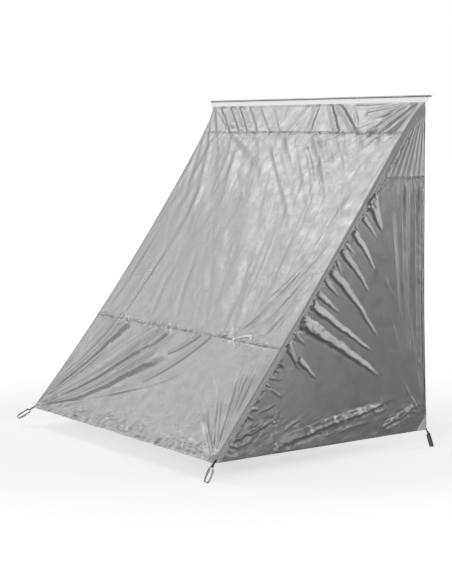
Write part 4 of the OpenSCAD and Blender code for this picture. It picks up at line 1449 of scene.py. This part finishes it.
stations = [-CORD_END, *np.linspace(-CORD_END + 0.004, CORD_END - 0.004, 230), CORD_END]
strip = extrude("beaded_strip", strip_profile(), stations, white_cloth, strip_wave, 50)
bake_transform(strip)
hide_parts("bead_sleeve_strip")
parts = []
for z in (-0.0252, -0.0092):
    line = np.array([tilt(STRIP_FACE, z)])
    points = np.array([(x, *strip_wave(x, line)[0])
                       for x in np.linspace(-CORD_END + 0.006, CORD_END - 0.006, 1500)])
    normals = np.tile(np.array([0, -LEAN_COS, LEAN_SIN]), (len(points), 1))
    parts.append(stitch_row(points, normals, pitch=0.0060, length=0.0043, radius=0.00035))
place(make_stitching("stitching_strip", parts), "strip", "white_strip")

# ------------------------------------------------------------------ tabs and peg loops
CORNERS = (    # corner, degrees the tab and the loop point down, side, loop's turn, far-end droop
    ("front_right", 52, 57, 1, 0.0, 0.004), ("front_left", 40, 28, -1, -1.05, -0.006),
    ("rear_right", 62, 74, 1, 0.75, 0.002), ("rear_left", 62, 74, -1, -0.75, 0.002))
EYE = 0.018          # tab's start to the loop's eye
LOOP_LENGTH = 0.0921
LOOP_STEP = 0.0016
TAB_STATIONS = (     # distance along the tab, offset of its middle
    (-0.0260, -0.0052), (-0.016, -0.0046), (-0.007, -0.0034), (0.0006, -0.0018),
    (0.005, -0.0004), (0.009, 0.0), (0.012, 0.0))
TAB_FOLD = [125, 95, 65, 35, 0, -35, -65, -95, -125]    # degrees round the eye


def tab_strap(corner, eye, hinge, direction, side, is_front):
    """A strap folded round the loop, its ends tucked inside the corner and sewn down."""
    outward = np.array([side, 0, 0])
    face = np.cross(hinge, direction)
    flat = np.array([-1.0, 0, 0]) if is_front else np.cross(direction, outward)
    flat = unit(flat - direction * (flat @ direction))
    if is_front and flat @ hinge < 0:
        flat = -flat
    turn = math.atan2(np.cross(hinge, flat) @ direction, hinge @ flat)
    inward = 1.0
    if not is_front:
        turn = (turn + math.pi / 2) % math.pi - math.pi / 2
        inward = np.sign(rotate(face, direction, turn) @ outward)
    upper = [(along, z + 0.00088) for along, z in TAB_STATIONS] + [(0.0138, 0.0016)]
    lower = [(along, z - 0.00088) for along, z in TAB_STATIONS] + [(0.0138, -0.0016)]
    fold = [(EYE + 0.0040 * math.cos(angle), 0.0040 * math.sin(angle))
            for angle in np.radians(TAB_FOLD)]
    along, offset = resample(bend(upper + fold + lower[::-1]), 0.0011).T
    twist = turn * (1 - smooth((along - 0.0005) / 0.0105))
    across, out = rotate(hinge, direction, twist), rotate(face, direction, twist)
    lead = np.interp(along, *zip(*TAB_STATIONS))
    offset = (offset - lead) + lead * inward
    centers = eye + (along - EYE)[:, None] * direction + out * offset[:, None]
    normals = unit(np.cross(unit(np.gradient(centers, axis=0)), across))
    waist = 1 - 0.28 * bell((along - 0.0045) / 0.0045) * (0.3 if is_front else 1)
    band = ribbon(centers, across, normals, 0.0075 * waist, 0.0008)
    run = run_length(centers)
    third = len(along) // 3
    neck, root = (float(np.interp(at, along[:third], run[:third])) for at in (0.0125, 0.0070))
    end, half = run[-1], 0.0058
    rows = ((neck, neck + 1e-5, -half, half), (root, root + 1e-5, -0.0055, 0.0055),
            (root, neck, -half, half), (root, neck, half, -half),
            (end - neck, end - neck - 1e-5, -half, half), (end - root, end - neck, -half, half))
    parts = [band] + band_stitches(centers, across, normals, rows, lift=0.00085)
    place(fix_normals(make_pair(f"tab_strap_{corner}", parts, [black_webbing, thread], 50)),
          "skin", "black_webbing", f"{corner}_tab")


def loop_path(seed):
    """Centre line of a peg loop in its own plane, from the eye round and back."""
    draws = rng(seed)
    angle = np.radians([45, 60, 75, 90, 105, 120, 135, 150, 162, 172, 180.0])
    widest, start = 0.0179, -0.004
    x = (0.0092 * np.cos(angle / 2) ** 1.2 + (widest - 0.003) * np.sin(angle / 2) ** 1.4
         * np.maximum(np.sin(angle), 0) ** 0.55)
    y = start + (LOOP_LENGTH - start) * (1 - np.cos(angle)) / 2
    right = [(0.0040, -0.0001), (0.0072, 0.0004), (0.0092, 0.0028), (0.0101, 0.0075), *zip(x, y)]
    left = [(-x * (1 + 0.06 * draws.uniform(-1, 1)), y + 0.001 * draws.uniform(-1, 1))
            for x, y in right[:-1]]
    return resample(bend([(0, 0)] + right + left[::-1] + [(0, 0)], 10), LOOP_STEP)[:-1]


def peg_loop(corner, eye, hinge, direction, turn, droop, seed, is_front):
    """A webbing loop, pleated where it passes through the tab."""
    face = np.cross(hinge, direction)
    turned_x, turned_z = rotate(hinge, direction, turn), rotate(face, direction, turn)
    x, y = loop_path(seed).T
    count = len(x)
    far = np.clip(y / LOOP_LENGTH, 0, 1)
    if not is_front:
        near_eye = bell(y / 0.012)
        x = x * (near_eye + (1 - near_eye) * 0.50)
    if corner == "front_left":
        x = x * (1 - 0.26 * smooth(y / 0.04))
    free = smooth(y / (0.022 if corner == "front_left" else 0.014))[:, None]
    span = unit(hinge * (1 - free) + turned_x * free)
    centers = (eye + x[:, None] * span + y[:, None] * direction
               + turned_z * (droop * far**2)[:, None])
    tangent = unit(np.roll(centers, -1, 0) - np.roll(centers, 1, 0))
    step = np.arange(count)
    gather = 1 - smooth((np.minimum(step, count - step) * LOOP_STEP - 0.0072) / 0.020)
    draws = rng(seed + 1)
    phase = step / count * 2 * math.pi
    twist = (0.16 * np.sin(phase + draws.uniform(0, 6))
             + 0.10 * np.sin(2 * phase + draws.uniform(0, 6))) * (1 - gather)
    flat = unit(face * (1 - free) + turned_z * free)
    flat = unit(flat - tangent * (flat * tangent).sum(1, keepdims=True))
    across = (flat * np.cos(twist)[:, None]
              + np.cross(tangent, flat) * np.sin(twist)[:, None])
    verts, faces, uv = ribbon(centers, across, np.cross(tangent, across), 0.0107, 0.00078,
                              closed=True, gather=gather, cup=0.0006)
    # the rear loops take the dark copy of the webbing: painted shade
    material = pale_webbing if is_front else grey_webbing
    place(fix_normals(make(f"peg_loop_{corner}", verts, faces, material, uv, 50)),
          f"{corner}_loop", "pale_webbing", f"{corner}_peg_loop")


for i, (corner, tab_angle, loop_angle, side, turn, droop) in enumerate(CORNERS):
    joint = JOINTS[f"{corner}_loop_swing"]
    eye, hinge = np.array(joint["pos_m"]), unit(joint["axis"])
    level_out = np.cross([0, 0, 1], hinge)
    tab_direction, loop_direction = (
        level_out * math.cos(angle) - np.array([0, 0, 1.0]) * math.sin(angle)
        for angle in (math.radians(tab_angle), math.radians(loop_angle)))
    is_front = corner.startswith("front")
    tab_strap(corner, eye, hinge, tab_direction, side, is_front)
    peg_loop(corner, eye, hinge, loop_direction, turn, droop, 950 + 7 * i, is_front)

# ------------------------------------------------------------------ tie tapes, lower front seam
TIE_X = 0.520              # the pad's right edge
PAD_WIDTH, PAD_HALF = 0.018, 0.008
PAD_STITCHES = (           # start (x, z) and end (x, z) in mm from the pad's right edge
    ((-16, 6), (-2, 6)), ((-16, -6), (-7, -6)), ((-16, -6), (-16, 6)), ((-2, 6), (-2, 0)),
    ((-16, 6), (-3, -2)), ((-16, -6), (-2, 5)))
# tapes: x, distance up the slope, half width, lift off the cloth, all in mm
LONG_TAPE = ((1.0, 3.5, 3.4, 2.9), (14, 7, 4.0, 3.4), (35, 14.5, 5.6, 4.4), (60, 23, 7.6, 4.6),
             (85, 30.5, 9.0, 4.6), (108, 35.5, 9.6, 5.4), (124, 35.5, 9.8, 6.0),
             (136, 29, 9.3, 5.2), (142, 18, 8.2, 3.6), (143.5, 8, 6.5, 2.6))
LONG_TAPE_STRAND = ((27, 12.5, 1.8, 4.0), (36, 8.5, 1.8, 3.2), (46, 5.4, 1.6, 2.6),
                    (56, 3.4, 1.3, 2.2))
SHORT_TAPE = ((1.0, 0, 3.8, 2.9), (12, 0, 4, 2.8), (30, -1.5, 4.2, 2.4), (46, -1, 4.2, 2.4),
              (60, 1, 4, 3.0), (72, 4, 3.4, 3.6))    # before it is turned and moved
SHORT_TAPE_TURN = math.radians(40)


def on_cloth(x, up, lift):
    """Points over the front cloth: x right of the pad's edge, up the slope from the seam."""
    level = (LOWER_Y - up) / SLOPE
    points, normals, _ = FRONT.at(level, front_column(level, TIE_X + x))
    return points + normals * np.broadcast_to(lift, np.shape(x))[..., None], normals


def tie_pad():
    up, share = np.meshgrid(np.linspace(-PAD_HALF, PAD_HALF, 11), np.linspace(0, 1, 13),
                            indexing="ij")
    # the lower part of the right edge slants inwards
    right = np.where(up >= -0.001, 0.0, -0.0059 * (-0.001 - up) / 0.007)
    x = -PAD_WIDTH + (right + PAD_WIDTH) * share
    points, normals = on_cloth(x, up, 0.0)
    edge = np.minimum(np.minimum(share, 1 - share) * PAD_WIDTH, PAD_HALF - np.abs(up))
    uv = np.stack([x, (up + PAD_HALF) / (2 * PAD_HALF)], -1)
    parts = [shell(points, normals, 0.0006 + 0.0012 * smooth(edge / 0.0012), 0.0002, uv)]
    for ends in PAD_STITCHES:
        x, up = np.linspace(*np.array(ends), 40).T / 1000
        parts.append(stitch_row(*on_cloth(x, up, 0.0019),
                                pitch=0.0030, length=0.0021, radius=0.00028))
    place(fix_normals(make_pair("tie_pad", parts, [tie_webbing, thread], 50)),
          "skin", "tie_tape", "tie_anchor")


def tape(stations, half_thick, cup=0.0):
    stations = np.array(stations, float) / 1000
    curve = bend(stations[:, :2], 12)
    sizes = sample(np.linspace(0, 1, len(curve)), np.linspace(0, 1, len(stations)),
                   stations[:, 2:])
    x, up, half_width, lift = resample(np.column_stack([curve, sizes]), 0.0016).T
    points, normals = on_cloth(x, up, lift)
    padded = np.pad(points, ((2, 2), (0, 0)), mode="edge")
    centers = np.stack([np.convolve(column, np.ones(5) / 5, "valid") for column in padded.T], -1)
    tangent = unit(np.gradient(centers, axis=0))
    across = unit(np.cross(normals, tangent))
    return ribbon(centers, across, np.cross(tangent, across), half_width, half_thick, cup=cup)


def add_tape(length, parts):
    verts, faces, uv = merge(parts)
    place(fix_normals(make(f"tape_{length}", verts, faces, tie_webbing, uv, 50)),
          f"{length}_tie", "tie_tape", f"tie_tape_{length}")


tie_pad()
add_tape("long", [tape(LONG_TAPE, 0.0005, cup=0.0012), tape(LONG_TAPE_STRAND, 0.0003)])
turn_cos, turn_sin = math.cos(SHORT_TAPE_TURN), math.sin(SHORT_TAPE_TURN)
short_tape = [(-2.95 + x * turn_cos + up * turn_sin, -4.5 - x * turn_sin + up * turn_cos,
               half_width, lift) for x, up, half_width, lift in SHORT_TAPE]
add_tape("short", [tape(short_tape, 0.0005, cup=0.0007)])

# ------------------------------------------------------------------ floor and world
scene = bpy.context.scene
FLOOR_HALF = 60.0


def floor_material():
    """Diffuse grey that also glows to the camera, fading to white away from the middle."""
    material = bpy.data.materials.new("floor")
    graph = Graph(material)
    output = graph.node("ShaderNodeOutputMaterial")
    diffuse = graph.filled("ShaderNodeBsdfDiffuse", {0: (0.62, 0.62, 0.62, 1)})
    emission = graph.node("ShaderNodeEmission")
    total = graph.node("ShaderNodeAddShader")
    light_path = graph.node("ShaderNodeLightPath")
    distance = graph.node("ShaderNodeVectorMath", operation="LENGTH")
    coords = graph.node("ShaderNodeTexCoord")
    graph.feed(distance.inputs[0], coords.outputs["Object"])
    # 1.5 m to 6 m from the middle, the glow grows from 0.62 to 1
    fade = graph.filled("ShaderNodeMapRange", {
        0: distance.outputs["Value"], 1: 1.5, 2: 6.0, 3: 0.62, 4: 1.0})
    glow = graph.math("MULTIPLY", fade.outputs[0], light_path.outputs["Is Camera Ray"])
    graph.feed(emission.inputs[1], glow)
    graph.feed(total.inputs[0], diffuse.outputs[0])
    graph.feed(total.inputs[1], emission.outputs[0])
    graph.feed(output.inputs[0], total.outputs[0])
    return material


material = floor_material()
mesh = bpy.data.meshes.new("floor")
mesh.from_pydata([(-FLOOR_HALF, -FLOOR_HALF, 0), (FLOOR_HALF, -FLOOR_HALF, 0),
                  (FLOOR_HALF, FLOOR_HALF, 0), (-FLOOR_HALF, FLOOR_HALF, 0)], [], [(0, 1, 2, 3)])
floor = bpy.data.objects.new("floor", mesh)
scene.collection.objects.link(floor)
mesh.materials.append(material)
floor.location = (0, 0, -0.002)

# dim white light, seen by the camera as full white
world = bpy.data.worlds.new("studio")
scene.world = world
graph = Graph(world)
output = graph.node("ShaderNodeOutputWorld")
mixer = graph.node("ShaderNodeMixShader")
light_path = graph.node("ShaderNodeLightPath")
graph.feed(mixer.inputs[0], light_path.outputs["Is Camera Ray"])
for i, strength in ((1, 0.22), (2, 1.0)):
    background = graph.filled("ShaderNodeBackground", {0: (1, 1, 1, 1), 1: strength})
    graph.feed(mixer.inputs[i], background.outputs[0])
graph.feed(output.inputs[0], mixer.outputs[0])

# ------------------------------------------------------------------ lights
LIGHTS = (    # name, place, target, size, watts, height if not square
    ("key", (5.2, -7.0, 3.4), (0.3, 0, 1.0), 2.2, 170, None),
    ("left_high", (-5.3, -1.5, 6.8), (0.4, 0.3, 1.5), 2.6, 62, None),
    ("left_low", (-6.5, -3.0, 4.0), (-0.1, -0.4, 0.6), 2.6, 42, None),
    ("left_front", (-4.3, -2.9, 7.2), (0.4, 0.2, 1.4), 1.7, 34, None),
    ("rim", (3.4, 5.6, 2.0), (0.95, 0.2, 0.9), 3.0, 82, None),
    ("right", (7.5, 1.0, 1.4), (0.95, 0.6, 1.0), 1.8, 34, None),
    ("up", (5.4, 4.2, 2.7), (0.95, 0.1, 0.4), 1.3, 48, None),
    ("side_band", (7.0, 2.05, 0.80), (1.02, 0.7, 0.9), 0.8, 26, 1.5))
for name, location, target, size, power, size_y in LIGHTS:
    light = bpy.data.lights.new(name, "AREA")
    light.energy, light.size = power, size
    if size_y:
        light.shape, light.size_y = "RECTANGLE", size_y
    lamp = bpy.data.objects.new(name, light)
    scene.collection.objects.link(lamp)
    lamp.location = location
    lamp.rotation_mode = "QUATERNION"
    lamp.rotation_quaternion = (Vector(target) - Vector(location)).to_track_quat("-Z", "Y")

# ------------------------------------------------------------------ camera
CAMERA_PLACE = (6.94088701, -5.12941907, 1.85989408)
YAW, PITCH, ROLL = 0.926625512, 0.113265517, -0.00237885    # radians; pitch looks down
camera_data = bpy.data.cameras.new("camera")
camera = bpy.data.objects.new("camera", camera_data)
scene.collection.objects.link(camera)
camera_data.sensor_width = 36.0
camera_data.lens = 88.9545205
camera_data.clip_start, camera_data.clip_end = 0.1, 200
forward = Vector((-math.sin(YAW) * math.cos(PITCH), math.cos(YAW) * math.cos(PITCH),
                  -math.sin(PITCH)))
level_right = Vector((math.cos(YAW), math.sin(YAW), 0))
level_up = level_right.cross(forward)
camera_right = level_right * math.cos(ROLL) + level_up * math.sin(ROLL)
camera_up = -level_right * math.sin(ROLL) + level_up * math.cos(ROLL)
pose = Matrix((camera_right, camera_up, -forward)).transposed().to_4x4()
pose.translation = Vector(CAMERA_PLACE)
camera.matrix_world = pose
scene.camera = camera
scene.view_settings.view_transform = "Standard"
scene.view_settings.look = "None"
scene.view_settings.exposure = 0.0
scene.view_settings.gamma = 1.0
